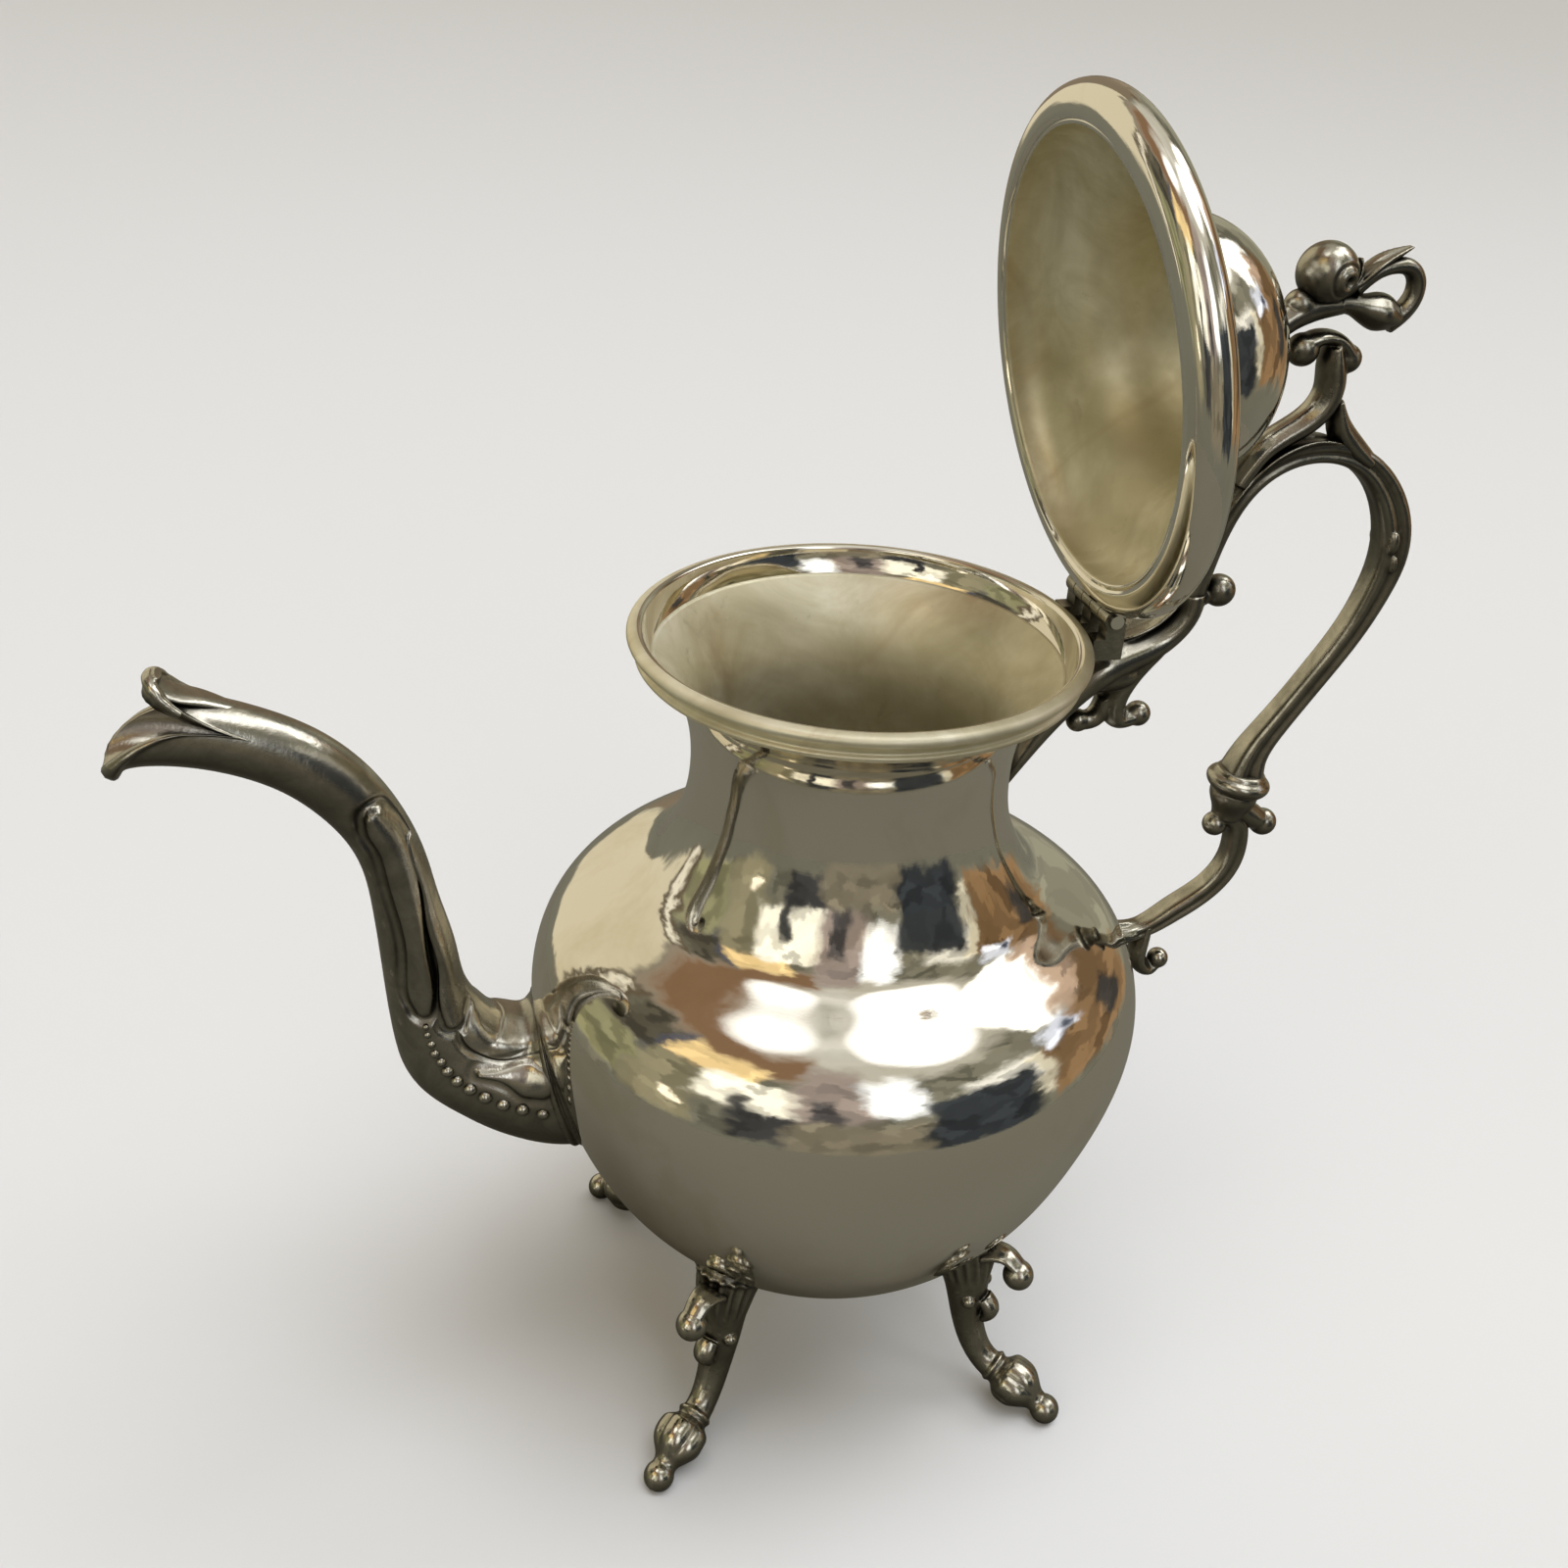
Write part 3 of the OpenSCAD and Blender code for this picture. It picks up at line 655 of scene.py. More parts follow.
def shaped_mouth(x, y, z, s, turns, ends, shrink):
    """Droops the lower lip and turns the upper lip up and back."""
    lower = np.clip(np.cos(turns), 0, 1)
    z = z - 0.8 * smoothstep(-x, 142, 151) * lower ** 0.5
    upper = np.clip(-np.cos(turns), 0, 1)
    flare = smoothstep(s, ends - 7.0, ends + 0.5) ** 2.2 * smoothstep(upper, 0.46, 0.9)
    z = z + (4.0 - 0.8 * shrink) * flare
    x = x + 0.4 * smoothstep(flare, 0.7, 1.0) - 1.1 * shrink * flare
    return np.stack([x, y, z], axis=2)


def bead_places(outer):
    """Beads on both sides of the spout's foot, smaller towards the neck."""
    flat = outer.reshape(-1, 3)
    made = []
    for x, z, radius in BEADS:
        for side in (-1, 1):
            cand = flat[flat[:, 1] * side > 0]
            near = cand[np.argmin((cand[:, 0] - x) ** 2 + (cand[:, 2] - z) ** 2)]
            made.append((x, near[1] - side * 0.25 * radius, z, radius))
    return made


def make_spout_collar():
    """Ridged moulding that covers the seam between the spout and the body."""
    turns = np.linspace(0, 2 * math.pi, 208, endpoint=False)[None]
    starts = spout_starts(-0.6, turns, 200)
    low = np.clip(np.cos(turns), 0, 1)
    wide, tall = 3.4 - 1.2 * low, 0.9 - 0.4 * low
    profile = [
        (0, -0.9), (0, 0.5), (1.1, 0.95), (2.3, 1.0), (3.6, 0.6), (4.6, 0.45), (5.8, 0.75),
        (7.2, 0.9), (8.6, 0.6), (9.7, 0.1), (10, -0.9),
    ]
    rows = []
    for w, h in spline(profile, 0.25):
        s = starts + wide * w / 10
        x, y, z, _ = spout_rows(-1.0, turns, s, s, 1)
        above = np.stack([x, y, z], axis=2)[0]
        x, y, z, _ = spout_rows(0.0, turns, s, s, 1)
        skin = np.stack([x, y, z], axis=2)[0]
        rows.append(skin + h * (above - skin) * tall[0][:, None])
    piece = make_object("spout_collar_casting", *grid(np.array(rows), close_ends=False))
    finish_piece(piece, "pot", ["spout_collar"], "old_silver", SPOUT_CAST)


def leaf_section(turn, along):
    """Flat leaf that is cupped upwards, with a groove along its middle."""
    out = np.sin(turn)
    up = 0.5 * np.cos(turn) + 0.55 * out ** 2 - 0.35 * np.exp(-(out / 0.22) ** 2)
    return up, out + 0 * along


def cord(path, radii, sides=24):
    """Round solid along points in space."""
    way = np.gradient(path, axis=0)
    way /= np.linalg.norm(way, axis=1)[:, None]
    side = np.cross(way, [1.0, 0.2, 0.1])
    side /= np.linalg.norm(side, axis=1)[:, None]
    up = np.cross(side, way)
    turn = np.linspace(0, 2 * math.pi, sides, endpoint=False)
    ring = side[:, None] * np.cos(turn)[None, :, None] + up[:, None] * np.sin(turn)[None, :, None]
    return grid(path[:, None] + ring * np.asarray(radii)[:, None, None])


def make_spout_leaf(skin):
    """Curled edge of the leaf that the upper lip of the spout turns up into."""
    angle = np.degrees(spout_turns()[0])
    picked = (angle > 128) & (angle < 232)
    path = skin[-1][picked]
    across = np.abs(angle[picked] - 180) / 52
    radii = 0.55 + 0.85 * (1 - across ** 2)
    rib = sweep([
        (-120, 184.6, 0.6, 1), (-126, 187, 1, 2.4), (-130.6, 189, 1.1, 3.4),
        (-135.4, 190.6, 1.1, 4), (-138, 193, 1, 3.6), (-137.2, 194.8, 0.8, 2.6),
    ], gap=0.4, sides=32)
    piece = cast("spout_leaf_casting", [cord(path, radii), rib], 0.22, 3)
    finish_piece(piece, "pot", ["spout_leaf_curl"], "old_silver", SPOUT_CAST)


# ---- Handle ----

def handle_casting(name, node, parts, voxel=0.3, smoothing=3, hug=True):
    piece = cast(name, parts, voxel, smoothing, hug)
    finish_piece(piece, "pot", [node], "old_silver", CAST)


def grip_section(turn, along):
    """Rounded square whose sides are hollowed into a channel between two ridges."""
    size = 1 - 0.09 * np.cos(4 * turn) - 0.16 * np.exp(-(np.cos(turn) / 0.3) ** 2)
    fade = smoothstep(along, 0.02, 0.2)
    size = 1 + (size - 1) * fade
    return size * np.cos(turn), size * np.sin(turn)


def rib_section(turn, along):
    """Round section with a raised rib down each side."""
    size = 1 + 0.12 * np.exp(-((np.abs(np.sin(turn)) - 1) / 0.12) ** 2)
    return size * np.cos(turn), size * np.sin(turn) + 0 * along


GRIP_LINE = [
    (73.4, 199.6, 3.4, 3.8), (74.8, 207, 3.2, 3.7), (78, 218, 3, 3.6), (82.5, 225, 2.8, 3.5),
    (89, 229.5, 2.7, 3.4), (97.5, 231, 2.5, 3.4), (106.5, 229, 2.8, 3.5), (114.2, 222.6, 3.4, 3.7),
    (118.8, 214, 3.9, 3.9), (119.9, 206.5, 3.9, 3.9), (118.6, 199, 3.5, 3.7),
    (114.8, 189, 3.1, 3.5), (108.2, 177.6, 3, 3.4), (101.2, 166.6, 3.1, 3.5),
    (96.6, 158.4, 3.8, 4.2), (95.5, 153.4, 4.9, 5.1),
]
COLLAR_AT = (95.2, 151.4)
COLLAR_TILT = math.radians(8)


def make_grip():
    grip = sweep(GRIP_LINE, grip_section, 0.5, 64)
    drop = [orb((118.2, side * 3.7, 210.6), (1.3, 0.9, 2.6)) for side in (-1, 1)]
    drop += [orb((119.4, side * 3.8, 205.6), (0.8, 0.7, 2.1)) for side in (-1, 1)]
    leaves = [
        sweep([(78.6, 217, 0.6, 1.2), (83, 226.4, 1.6, 3.6), (89, 231.2, 1.8, 4),
               (96, 233, 1.6, 3.8), (103, 231.8, 1, 2.6), (107.5, 230.4, 0.6, 1.2)],
              leaf_section, 0.4, 40),
        sweep([(74.8, 209, 0.6, 1.2), (77.6, 218.4, 1.6, 3.8), (81.4, 224.6, 1.6, 3.8),
               (86, 228.4, 0.7, 1.4)], leaf_section, 0.4, 40),
    ]
    handle_casting("grip_casting", "handle_grip", [grip, *drop, *leaves], 0.34)


def make_bracket():
    """Bracket behind the lid: an S-shaped leaf from the neck to the grip, with scrolls."""
    parts = [
        sweep([(35, 158, 2, 4), (40, 167, 3, 5), (46, 177, 4.5, 6.5), (53.5, 184.5, 5.5, 7),
               (62, 187.5, 4.6, 5.6), (68.8, 190.6, 3.8, 4.6), (73, 196, 3.5, 4.3),
               (73.5, 200.6, 3.6, 4.1)], rib_section, 0.5, 48),
        sweep([(67, 188, 3, 4.2), (62.6, 183.4, 3.4, 4.6), (60.2, 178.6, 3.3, 4.2),
               (59.6, 174, 3, 3.6), (61.4, 170.6, 2.4, 3), (65, 170.8, 2.2, 2.4)],
              rib_section, 0.5, 40),
        sweep([(58, 176, 2.4, 3), (55.5, 171, 2.2, 2.6), (52, 170.5, 2.2, 2.2)]),
        sweep([(72, 195, 2.4, 3), (76, 198.6, 2, 2.4), (80.4, 200.2, 2, 2)]),
        orb((66.3, 171.2), 2.9), orb((52, 170.5), 2.6), orb((80.4, 200.2), 3.6),
        sweep([(48, 180, 3.6, 5.4), (54, 182.6, 4.6, 6), (60, 183, 4.2, 5.4), (64, 184, 2, 3.6)],
              rib_section, 0.5, 40),
        sweep([(54, 189.4, 1, 2), (60, 191.6, 1.6, 4.8), (66, 194.6, 1.6, 4.8),
               (70.4, 199.4, 1.2, 4), (72.6, 206, 0.6, 1.4)], leaf_section, 0.4, 40),
    ]
    handle_casting("bracket_casting", "handle_bracket", parts, 0.34)


THUMB_STEM = [
    (79, 224.5, 2.6, 3.4), (84, 231.8, 2.6, 3.4), (90.4, 236, 2.8, 3.4), (95, 240, 3, 3.5),
    (96.4, 244.6, 3, 3.6), (95.6, 249.4, 2.7, 3.6), (95, 253, 1.6, 3),
]


def make_thumb_scroll():
    parts = [
        sweep(THUMB_STEM, rib_section, 0.45, 40),
        sweep([(88.5, 253.2, 2, 2.8), (91.5, 254.6, 1.6, 3), (95.5, 254.2, 1.5, 3),
               (99, 251, 2, 2.8)], gap=0.4, sides=36),
        orb((88.5, 252.2), 3.4), orb((99, 250.2), 3.0),
    ]
    handle_casting("thumb_scroll_casting", "handle_thumb_scroll", parts, hug=False)


def make_crest_leaf():
    leaf = sweep([(109, 228.2, 2.2, 3), (104.6, 231.6, 2.8, 3.2), (100.8, 235.8, 2.6, 3),
                  (98.8, 241.6, 1.2, 2.2)], rib_section, 0.35, 40)
    handle_casting("crest_leaf_casting", "handle_crest_leaf", [leaf], 0.24, 2, hug=False)


def at_collar(points):
    """Moves points that stand along +z at the collar, leaning with the grip."""
    c, s = math.cos(COLLAR_TILT), math.sin(COLLAR_TILT)
    return np.stack([
        c * points[:, 0] + s * points[:, 2] + COLLAR_AT[0], points[:, 1],
        -s * points[:, 0] + c * points[:, 2] + COLLAR_AT[1],
    ], axis=1)


def make_collar():
    profile = spline([
        (0, -3), (4.6, -3), (5.3, -2.6), (6.3, -1.9), (7.2, -0.8), (7.4, 0.2), (6.9, 1.2),
        (6.0, 1.9), (5.6, 2.6), (4.6, 3), (0, 3),
    ], 0.25)
    points, faces = lathe(profile, 96)
    piece = make_object("handle_collar_casting", at_collar(points), faces)
    finish_piece(piece, "pot", ["handle_collar"], "silver", CAST)


def make_cup():
    profile = spline([(0, -10), (3, -10), (3.8, -8), (5.2, -5), (5.6, -3), (5.2, -2), (0, -2)], 0.3)
    points, faces = lathe(profile, 72)
    parts = [
        (at_collar(points), faces),
        orb((91.4, 140), 2.9), orb((104, 139.4), 3.3),
        sweep([(97, 144, 3, 3.4), (100.6, 141.4, 3, 3.2), (103.6, 139.6, 2.4, 2.6)],
              gap=0.4, sides=32),
    ]
    handle_casting("handle_cup_casting", "handle_cup", parts, hug=False)


def make_strut():
    parts = [
        sweep([(91.2, 140.4, 2, 2.4), (93.6, 142, 2.4, 2.8), (96.4, 140.4, 2.6, 3.1),
               (97.6, 136, 2.7, 3.2), (97.6, 131.5, 2.7, 3.2), (96, 126.4, 2.7, 3.2),
               (92.4, 121.8, 2.7, 3.2), (88, 118.4, 2.7, 3.3), (84.3, 116, 2.6, 3.3),
               (80.4, 113.4, 2.3, 3.2), (76, 111.4, 2.2, 3), (70.5, 110.8, 2.6, 3.6),
               (64, 111, 3, 4.2)], grip_section, 0.5, 56),
        sweep([(78.5, 113, 0.5, 1), (74.4, 112.4, 1.4, 3.4), (70.6, 112.6, 1.5, 3.6),
               (67.5, 113.6, 0.8, 1.6)], leaf_section, 0.35, 40),
    ]
    handle_casting("lower_strut_casting", "handle_lower_strut", parts, 0.32)


def make_lower_scroll():
    parts = [
        sweep([(78.4, 113, 1.6, 2.4), (77.8, 108.6, 2.1, 2.9), (77.5, 104.2, 2.2, 3),
               (78.8, 100.8, 2, 2.8), (81.2, 99.4, 1.8, 2.4), (83.2, 101, 1.4, 1.8)],
              rib_section, 0.4, 40),
        orb((83.5, 101.9), 2.6),
    ]
    handle_casting("lower_scroll_casting", "handle_lower_scroll", parts)


# ---- Lid ----

LID_LIP_Z = 196.1
LID_INNER_R = 45.0
DOME_R, DOME_H, DOME_Z = 26.5, 20.5, 214.3
LID_WALL = 1.2
LID_SEGMENTS = 224
# The lid's moulding is notched round the hinge: its half length and radius.
NOTCH_HALF, NOTCH_R = 11.8, 2.7


def lid_curve():
    """Outside of the lid from its lip over the flat brim and the small step to the dome's top."""
    brim = spline([
        (LID_INNER_R, LID_LIP_Z + 0.4), (LID_INNER_R, LID_LIP_Z + 5),
        (LID_INNER_R, LID_LIP_Z + 8.0), (43.2, LID_LIP_Z + 9.2), (40, LID_LIP_Z + 10.0),
        (36, LID_LIP_Z + 10.9), (32.6, LID_LIP_Z + 12.2), (30, LID_LIP_Z + 14.2),
        (28.8, LID_LIP_Z + 15.8),
    ], 0.5)
    step = spline([(28.8, 211.9), (29.4, 212.5), (29.2, 213.3), (28.2, 213.7), (27.1, 213.9)], 0.25)
    dome = [
        (DOME_R * math.cos(a) ** 0.8, DOME_Z + DOME_H * math.sin(a))
        for a in np.radians(np.linspace(0, 90, 61))[:-1]
    ]
    return np.vstack([brim, step[1:], dome, [(0, DOME_Z + DOME_H)]])


def lid_inside():
    """Inside of the lid: a smooth dish that runs on into the dome."""
    dish = [
        (43.9, 196.5), (43.4, 199.6), (41.8, 202.4), (38.4, 204.8), (34.4, 206.6), (30.6, 208.9),
        (27.6, 212.2), (25.4, 216.6),
    ]
    dome = [
        ((DOME_R - LID_WALL) * math.cos(a) ** 0.8, DOME_Z + (DOME_H - LID_WALL) * math.sin(a))
        for a in np.radians(np.linspace(20, 84, 7))
    ]
    curve = spline(dish + dome + [(0, DOME_Z + DOME_H - LID_WALL)], 0.6)
    curve[-1, 0] = 0
    return curve


def make_lid_shell():
    outer, inner = lid_curve(), lid_inside()
    points, faces = lathe(np.vstack([outer, inner[::-1]]), LID_SEGMENTS)
    piece = make_object("lid_shell_skin", open_lid(points), faces)
    dome_top = (len(outer) - 1) * LID_SEGMENTS
    for face in piece.data.polygons:
        if min(face.vertices) >= dome_top:
            face.material_index = 1
    finish_piece(piece, "lid", ["lid_shell"], "silver", POLISHED, INSIDE)


def make_lid_moulding():
    """Half-round moulding round the lid's edge."""
    centre = (46.9, LID_LIP_Z + 4.5)
    outside = [(LID_INNER_R, LID_LIP_Z), (46.6, LID_LIP_Z), (48, LID_LIP_Z + 0.2)]
    outside += arc(centre, 4.6, -62, 104, 34)
    outside += [(LID_INNER_R + 0.4, LID_LIP_Z + 8.7), (LID_INNER_R, LID_LIP_Z + 8.2)]
    points, faces = lathe(outside, LID_SEGMENTS)
    from_hinge = points - HINGE
    away = np.hypot(from_hinge[:, 0], from_hinge[:, 2])
    notch = (away < NOTCH_R) & (np.abs(points[:, 1]) < NOTCH_HALF)
    pushed = from_hinge[notch]
    pushed[:, [0, 2]] *= (NOTCH_R / away[notch])[:, None]
    points[notch] = pushed + HINGE
    piece = make_object("lid_moulding_skin", open_lid(points), faces)
    finish_piece(piece, "lid", ["lid_moulding"], "silver", POLISHED)


# ---- Finial, drawn on the closed lid ----

def finial_casting(name, node, parts, voxel):
    piece = cast(name, parts, voxel, 2, hug=False)
    set_points(piece, open_lid(mesh_points(piece)))
    finish_piece(piece, "lid", [node], "old_silver", CAST)


def make_finial_stem():
    parts = [
        sweep([(0, 232, 4.6, 4.6), (-0.6, 236, 3.4, 3.4), (-2.2, 240, 3, 3), (-3.4, 244.5, 3, 3),
               (-3.2, 248.5, 2.4, 2.6), (-3, 252, 2, 2.2)], rib_section, 0.35, 40),
        orb((-4.2, 242.2), 3.3),
    ]
    finial_casting("finial_stem_casting", "finial_stem", parts, 0.26)


def make_finial_bud():
    """Round flower bud with a dimple on each side and petals closing over it."""
    centre, radius = np.array([-9.8, 0, 247.6]), 6.1
    points, faces = orb(centre, radius, 64)
    out = (points - centre) / radius
    depth = np.zeros(len(points))
    for side in (-1, 1):
        dimple = np.array([0.18, side * 0.93, 0.32])
        dimple /= np.linalg.norm(dimple)
        angle = np.degrees(np.arccos(np.clip(out @ dimple, -1, 1)))
        depth -= 1.5 * (1 - smoothstep(angle, 4, 13))
        depth += 0.28 * np.exp(-((angle - 17) / 4) ** 2)
        depth -= 0.45 * np.exp(-((angle - 33) / 3.2) ** 2)
    points = points + out * depth[:, None]
    piece = make_object("finial_bud_casting", open_lid(points), faces)
    finish_piece(piece, "lid", ["finial_bud"], "silver", CAST)


def make_finial_leaf():
    parts = [
        sweep([(-4, 250, 2, 2.4), (-6.4, 254.6, 1.9, 2.6), (-8.8, 258, 1.8, 2.8),
               (-10.6, 261.6, 1.5, 2.4), (-12, 266, 0.5, 0.8)], leaf_section, 0.3, 44),
        sweep([(-3.2, 247, 0.8, 1.4), (-5.6, 251.8, 1.3, 2.4), (-8.4, 254.4, 1.2, 2.2),
               (-11.6, 254.8, 0.6, 1.2)], leaf_section, 0.3, 44),
    ]
    finial_casting("finial_leaf_casting", "finial_leaf", parts, 0.24)


def make_finial_tendril():
    parts = [
        sweep([(-5.6, 253.5, 1.8, 2.4), (-8.2, 258, 1.6, 2.2), (-8.9, 262, 1.6, 2.2),
               (-8, 265.6, 1.7, 2.2), (-5.2, 267.4, 1.8, 2.2), (-1.6, 266.8, 1.9, 2.3),
               (1, 264.4, 2, 2.4), (2.8, 261.4, 2, 2.4)], gap=0.35, sides=40),
        sweep([(-3.4, 250, 2, 2.4), (-2.6, 253.6, 2.2, 2.6), (-1.4, 256.4, 3, 3.2),
               (-0.2, 259.4, 3.8, 4), (1.2, 262.2, 2.8, 3), (2.4, 264.6, 1, 1.4)],
              rib_section, 0.35, 48),
    ]
    finial_casting("finial_tendril_casting", "finial_tendril", parts, 0.26)


# ---- Feet, drawn with x pointing outwards ----

def crown_section(turn, along):
    """Ribbed upright leaf round the top of the leg that fades out below."""
    leaf = smoothstep(-along, -0.36, -0.26) * smoothstep(along, 0.1, 0.13)
    ribs = 0.05 * np.cos(18 * turn) * leaf
    band = 0.10 * np.exp(-((along - 0.12) / 0.012) ** 2)
    size = 1 + ribs + band
    return size * np.cos(turn), size * np.sin(turn)


def lobed_section(turn, along):
    """Five petals closing round a knob."""
    petals = 0.17 * (1 - np.abs(np.cos(2.5 * turn)) ** 0.7)
    size = 1 - petals * smoothstep(along, 0.2, 0.34) * smoothstep(-along, -0.86, -0.7)
    return size * np.cos(turn), size * np.sin(turn)


LEG_LINE = [
    (37, 51, 9.5, 8.4), (41, 43.5, 8.4, 7), (43, 36, 6, 5.9), (44, 29, 4.7, 5.2),
    (45, 22, 3.9, 4.2), (47.2, 15.5, 3.5, 3.6), (51, 10.6, 3.4, 3.4), (55.4, 8.6, 3.7, 3.7),
]


def foot_parts():
    knob = [
        (52.6, 9.9, 3.0, 3.0), (53.6, 9.5, 4.2, 4.2), (54.7, 9.1, 3.5, 3.6), (56.6, 8.4, 5.5, 5.6),
        (58.6, 7.9, 6.2, 6.35), (60.8, 7.2, 6.1, 6.25), (63, 6.2, 4.9, 5.0), (65, 5.2, 3.0, 3.2),
        (66.5, 4.4, 2.7, 2.9),
    ]
    return [
        sweep(LEG_LINE, crown_section, 0.3, 160),
        sweep(knob, lobed_section, 0.35, 80),
        orb((68.2, 3.45), 3.6),
        sweep([(48.5, 30.5, 1.8, 2.6), (50.6, 27.6, 2, 2.6), (49, 24, 1.2, 2)]),
        orb((50.8, 27.8), 1.9),
        *(orb((46.4, side * 4.6, 31.6), 1.7) for side in (-1, 1)),
    ]


def foot_ball_parts():
    return [
        orb((56, 42.5), 3.7),
        sweep([(44, 43, 2.4, 4.4), (48.8, 46, 2, 3.4), (52.8, 46.8, 1.6, 2.7),
               (55.6, 45, 1.6, 2.4)], rib_section, 0.4, 40),
    ]


def make_feet():
    corners = {"spout_left": 225, "spout_right": 135, "handle_left": -45, "handle_right": 45}
    foot = cast("foot_pattern", foot_parts(), 0.3, 2)
    ball = cast("foot_ball_pattern", foot_ball_parts(), 0.3, 2)
    for pattern, node, slot in ((foot, "foot", "old_silver"), (ball, "foot_ball", "silver")):
        points = mesh_points(pattern)
        points[:, 2] = np.maximum(points[:, 2], 0.0)
        faces = [tuple(f.vertices) for f in pattern.data.polygons]
        for corner, turn in corners.items():
            piece = make_object(f"{node}_{corner}_casting", turned_about_axis(points, turn), faces)
            finish_piece(piece, "pot", [f"{node}_{corner}"], slot, CAST)
        bpy.data.objects.remove(pattern)


def dress_cad_nodes():
    """The hinge keeps its CAD shape."""
    for name, material in (("hinge_knuckles_body", CAST), ("hinge_knuckles_lid", CAST),
                           ("hinge_pin", POLISHED)):
        node = frame["nodes"][name]
        node.data.materials.clear()
        node.data.materials.append(material)


# ---- Stage ----

def make_floor():
    """Pale floor; in the silver it shows as a round table top, a shade darker."""
    size, table_radius, soft = 6.0, 0.43, 0.01
    mesh = bpy.data.meshes.new("floor")
    corners = [(-size, -size, 0), (size, -size, 0), (size, size, 0), (-size, size, 0)]
    mesh.from_pydata(corners, [], [(0, 1, 2, 3)])
    floor = new_object("floor", mesh)
    material, tree, shader = new_material("pale_floor")
    seen = add_node(tree, "ShaderNodeLightPath").outputs["Is Camera Ray"]
    colour = mixed(tree, seen, (0.162, 0.158, 0.132, 1), (0.74, 0.76, 0.80, 1))
    tree.links.new(colour, shader.inputs["Base Color"])
    shader.inputs["Roughness"].default_value = 0.8
    shader.inputs["Specular IOR Level"].default_value = 0.1
    place = add_node(tree, "ShaderNodeNewGeometry").outputs["Position"]
    away = add_node(tree, "ShaderNodeVectorMath", {0: place}, operation="LENGTH").outputs["Value"]
    beyond = between(tree, away, table_radius - soft, table_radius + soft)
    hidden = worked_out(tree, "MULTIPLY", beyond, worked_out(tree, "SUBTRACT", 1.0, seen))
    clear = add_node(tree, "ShaderNodeBsdfTransparent").outputs[0]
    mix = add_node(tree, "ShaderNodeMixShader", {0: hidden, 1: shader.outputs[0], 2: clear})
    tree.links.new(mix.outputs[0], tree.nodes["Material Output"].inputs["Surface"])
    mesh.materials.append(material)


# The room that the silver mirrors: azimuth from the front towards the handle and height above
# the horizon, both in degrees, then the colour and the softness of the edges in degrees.
ROOM = [
    (-180, 180, 50, 74, (0.60, 0.57, 0.48), 4),
    (-180, -28, 50, 73, (0.26, 0.155, 0.085), 5),
    (-180, 180, 73, 90, (0.85, 0.82, 0.74), 8),
    (-184, -128, -6, 46, (0.74, 0.66, 0.47), 1.5),
    (-128, -117, -12, 48, (0.14, 0.11, 0.07), 1),
    (-125.5, -121.5, -12, 46, (0.95, 0.88, 0.7), 1),
    (-117, -88, 23, 50, (0.10, 0.09, 0.065), 3),
    (-117, -88, -10, 23, (0.28, 0.27, 0.15), 2),
    (-90, -76, 20, 52, (0.10, 0.10, 0.12), 2),
    (-84, -44, 34, 54, (1.0, 0.74, 0.36), 2),
    (-88, -62, -14, 34, (0.30, 0.27, 0.17), 2),
    (-73, -67, -5, 6, (1.8, 1.6, 1.2), 1),
    (-64, -26, 9, 38, (1.15, 1.1, 0.92), 2),
    (-50, -44, 8, 24, (0.05, 0.05, 0.05), 1),
    (-49, -21, -14, 11, (0.055, 0.055, 0.055), 2),
    (-30, 1, 9, 62, (0.40, 0.33, 0.29), 4),
    (-22, -12, 5, 30, (0.11, 0.10, 0.10), 2),
    (1, 21, 18, 52, (1.9, 1.95, 2.0), 4),
    (-28, 20, -24, 8, (0.24, 0.21, 0.15), 3),
    (35, 68, 8, 33, (0.85, 0.83, 0.75), 3),
    (19, 60, -20, 24, (0.04, 0.045, 0.05), 2),
    (62, 70, -8, 30, (0.95, 0.88, 0.68), 1.5),
    (68, 124, -14, 30, (0.26, 0.16, 0.08), 2),
    (73, 92, 20, 34, (0.95, 1.0, 1.15), 2),
    (84, 91, 22, 29, (0.12, 0.14, 0.20), 1.5),
    (84, 124, 36, 62, (3.0, 3.0, 2.9), 4),
    (94, 116, 27, 40, (0.5, 0.36, 0.26), 3),
    (98, 110, -6, 14, (0.05, 0.045, 0.04), 2),
    (122, 150, -12, 26, (0.27, 0.26, 0.19), 2),
    (150, 180, -12, 46, (0.24, 0.19, 0.13), 3),
]
# Round lamps overhead: azimuth, height and radius in degrees, and colour.
LAMPS = [(62, 70, 13, (2.6, 2.6, 2.6)), (-84, 75, 8, (1.9, 1.88, 1.82))]
LAMP_SOFT = 3.5
WALL_LOW, WALL_HIGH = (0.17, 0.165, 0.13, 1), (0.21, 0.2, 0.15, 1)


def in_range(tree, value, low, high, soft):
    up = between(tree, value, low - soft, low + soft)
    return worked_out(tree, "MULTIPLY", up, between(tree, value, high - soft, high + soft, 1, 0))


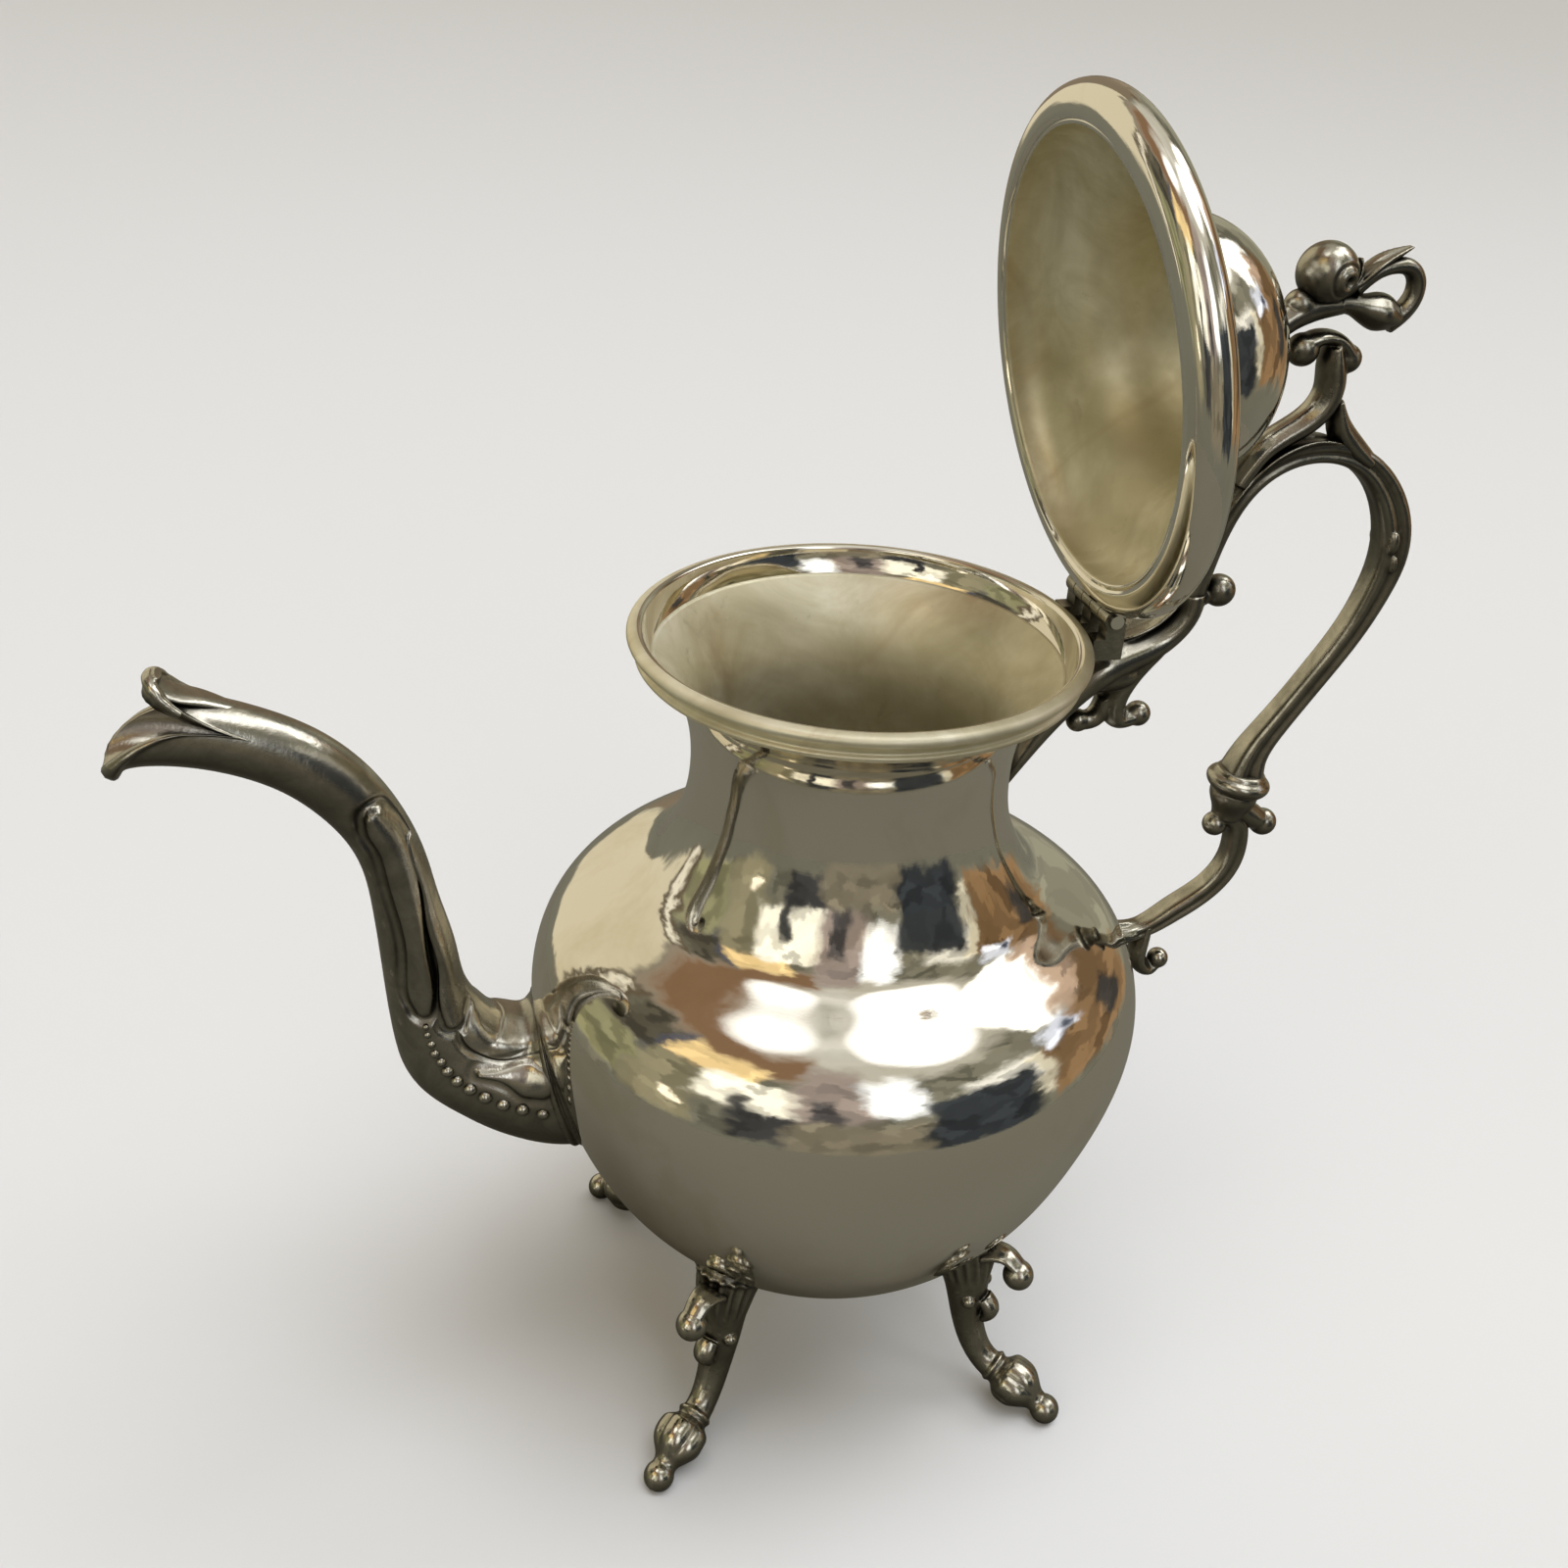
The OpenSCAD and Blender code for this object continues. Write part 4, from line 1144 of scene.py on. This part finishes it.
def room_colour(tree, direction):
    """The walls, windows, ceiling and clutter of the room, from the direction looked in."""
    parts = add_node(tree, "ShaderNodeSeparateXYZ", {"Vector": direction}).outputs
    wobble = add_node(tree, "ShaderNodeTexNoise", {
        "Vector": direction, "Scale": 4.0, "Detail": 5.0, "Roughness": 0.65,
    })
    shift = add_node(tree, "ShaderNodeSeparateColor", {"Color": wobble.outputs["Color"]}).outputs
    to_front = worked_out(tree, "MULTIPLY", parts["Y"], -1.0)
    height = worked_out(tree, "ARCSINE", parts["Z"], 0.0)
    height = worked_out(tree, "MULTIPLY", height, math.degrees(1))
    height = worked_out(tree, "ADD", height, between(tree, shift[0], 0, 1, -12, 12))
    around = worked_out(tree, "ARCTAN2", parts["X"], to_front)
    around = worked_out(tree, "MULTIPLY", around, math.degrees(1))
    around = worked_out(tree, "ADD", around, between(tree, shift[1], 0, 1, -12, 12))
    colour = mixed(tree, between(tree, height, -30, 0), WALL_LOW, WALL_HIGH)
    for left, right, low, high, tone, soft in ROOM:
        inside = worked_out(tree, "MULTIPLY", in_range(tree, around, left, right, soft),
                            in_range(tree, height, low, high, soft))
        colour = mixed(tree, inside, colour, (*tone, 1))
    for azimuth, elevation, radius, tone in LAMPS:
        a, e = math.radians(azimuth), math.radians(elevation)
        aim = (math.sin(a) * math.cos(e), -math.cos(a) * math.cos(e), math.sin(e))
        nearness = add_node(tree, "ShaderNodeVectorMath", {0: direction, 1: aim},
                            operation="DOT_PRODUCT").outputs["Value"]
        edge = [math.cos(math.radians(radius + d)) for d in (LAMP_SOFT, -LAMP_SOFT)]
        colour = mixed(tree, between(tree, nearness, *edge), colour, (*tone, 1))
    place = add_node(tree, "ShaderNodeCombineXYZ", {"X": around, "Y": height}).outputs[0]
    blocks = add_node(tree, "ShaderNodeTexVoronoi", {"Vector": place, "Scale": 0.11},
                      voronoi_dimensions="2D", distance="CHEBYCHEV")
    tones = add_node(tree, "ShaderNodeSeparateColor", {"Color": blocks.outputs["Color"]}).outputs
    clutter = between(tree, tones[0], 0, 1, 0.6, 1.45)
    amount = worked_out(tree, "MULTIPLY", in_range(tree, height, -15, 50, 3),
                        in_range(tree, around, -118, 160, 3))
    return mixed(tree, amount, colour, clutter, "MULTIPLY")


def make_world():
    world = bpy.data.worlds.new("room")
    bpy.context.scene.world = world
    world.use_nodes = True
    tree = world.node_tree
    background = tree.nodes["Background"]
    direction = add_node(tree, "ShaderNodeTexCoord").outputs["Generated"]
    colour = room_colour(tree, direction)
    seen = add_node(tree, "ShaderNodeLightPath").outputs["Is Camera Ray"]
    colour = mixed(tree, seen, colour, (0.80, 0.80, 0.81, 1))
    tree.links.new(colour, background.inputs["Color"])
    background.inputs["Strength"].default_value = 1.0


def make_light(name, towards, distance, size, power):
    """Square area light that shines on the pot but isn't mirrored in it."""
    data = bpy.data.lights.new(name, "AREA")
    data.shape = "RECTANGLE"
    data.size = data.size_y = size
    data.energy = power
    light = new_object(name, data)
    middle = Vector((0, 0, 0.14))
    way = Vector(towards).normalized()
    light.location = middle + way * distance
    light.rotation_mode = "QUATERNION"
    light.rotation_quaternion = way.to_track_quat("Z", "Y")
    light.visible_camera = False
    light.visible_glossy = False


CAMERA_PLACE, CAMERA_AIM = (-80.8, -292.2, 334.1), (-1.6, 0, 159.9)
CAMERA_ROLL = 0.057
CAMERA_LENS = 37.2


def make_camera():
    data = bpy.data.cameras.new("camera")
    camera = new_object("camera", data)
    data.sensor_width = 36.0
    data.lens = CAMERA_LENS
    data.clip_start, data.clip_end = 0.01, 50
    place, aim = Vector(CAMERA_PLACE) * MM, Vector(CAMERA_AIM) * MM
    back = (place - aim).normalized()
    right = Vector((0, 0, 1)).cross(back).normalized()
    up = back.cross(right)
    c, s = math.cos(CAMERA_ROLL), math.sin(CAMERA_ROLL)
    image_right, image_up = right * c + up * s, up * c - right * s
    camera.matrix_world = Matrix((image_right, image_up, back)).transposed().to_4x4()
    camera.matrix_world.translation = place
    bpy.context.scene.camera = camera


def make_stage():
    make_floor()
    make_world()
    make_light("overhead", (0.1, -0.2, 1.0), 3.0, 2.0, 40)
    make_camera()
    bpy.context.scene.view_settings.view_transform = "Standard"


make_body()
make_rim()
spout_skin = make_spout()
make_spout_collar()
make_spout_leaf(spout_skin)
make_grip()
make_bracket()
make_thumb_scroll()
make_crest_leaf()
make_collar()
make_cup()
make_strut()
make_lower_scroll()
make_lid_shell()
make_lid_moulding()
make_finial_stem()
make_finial_bud()
make_finial_leaf()
make_finial_tendril()
make_feet()
dress_cad_nodes()
make_stage()
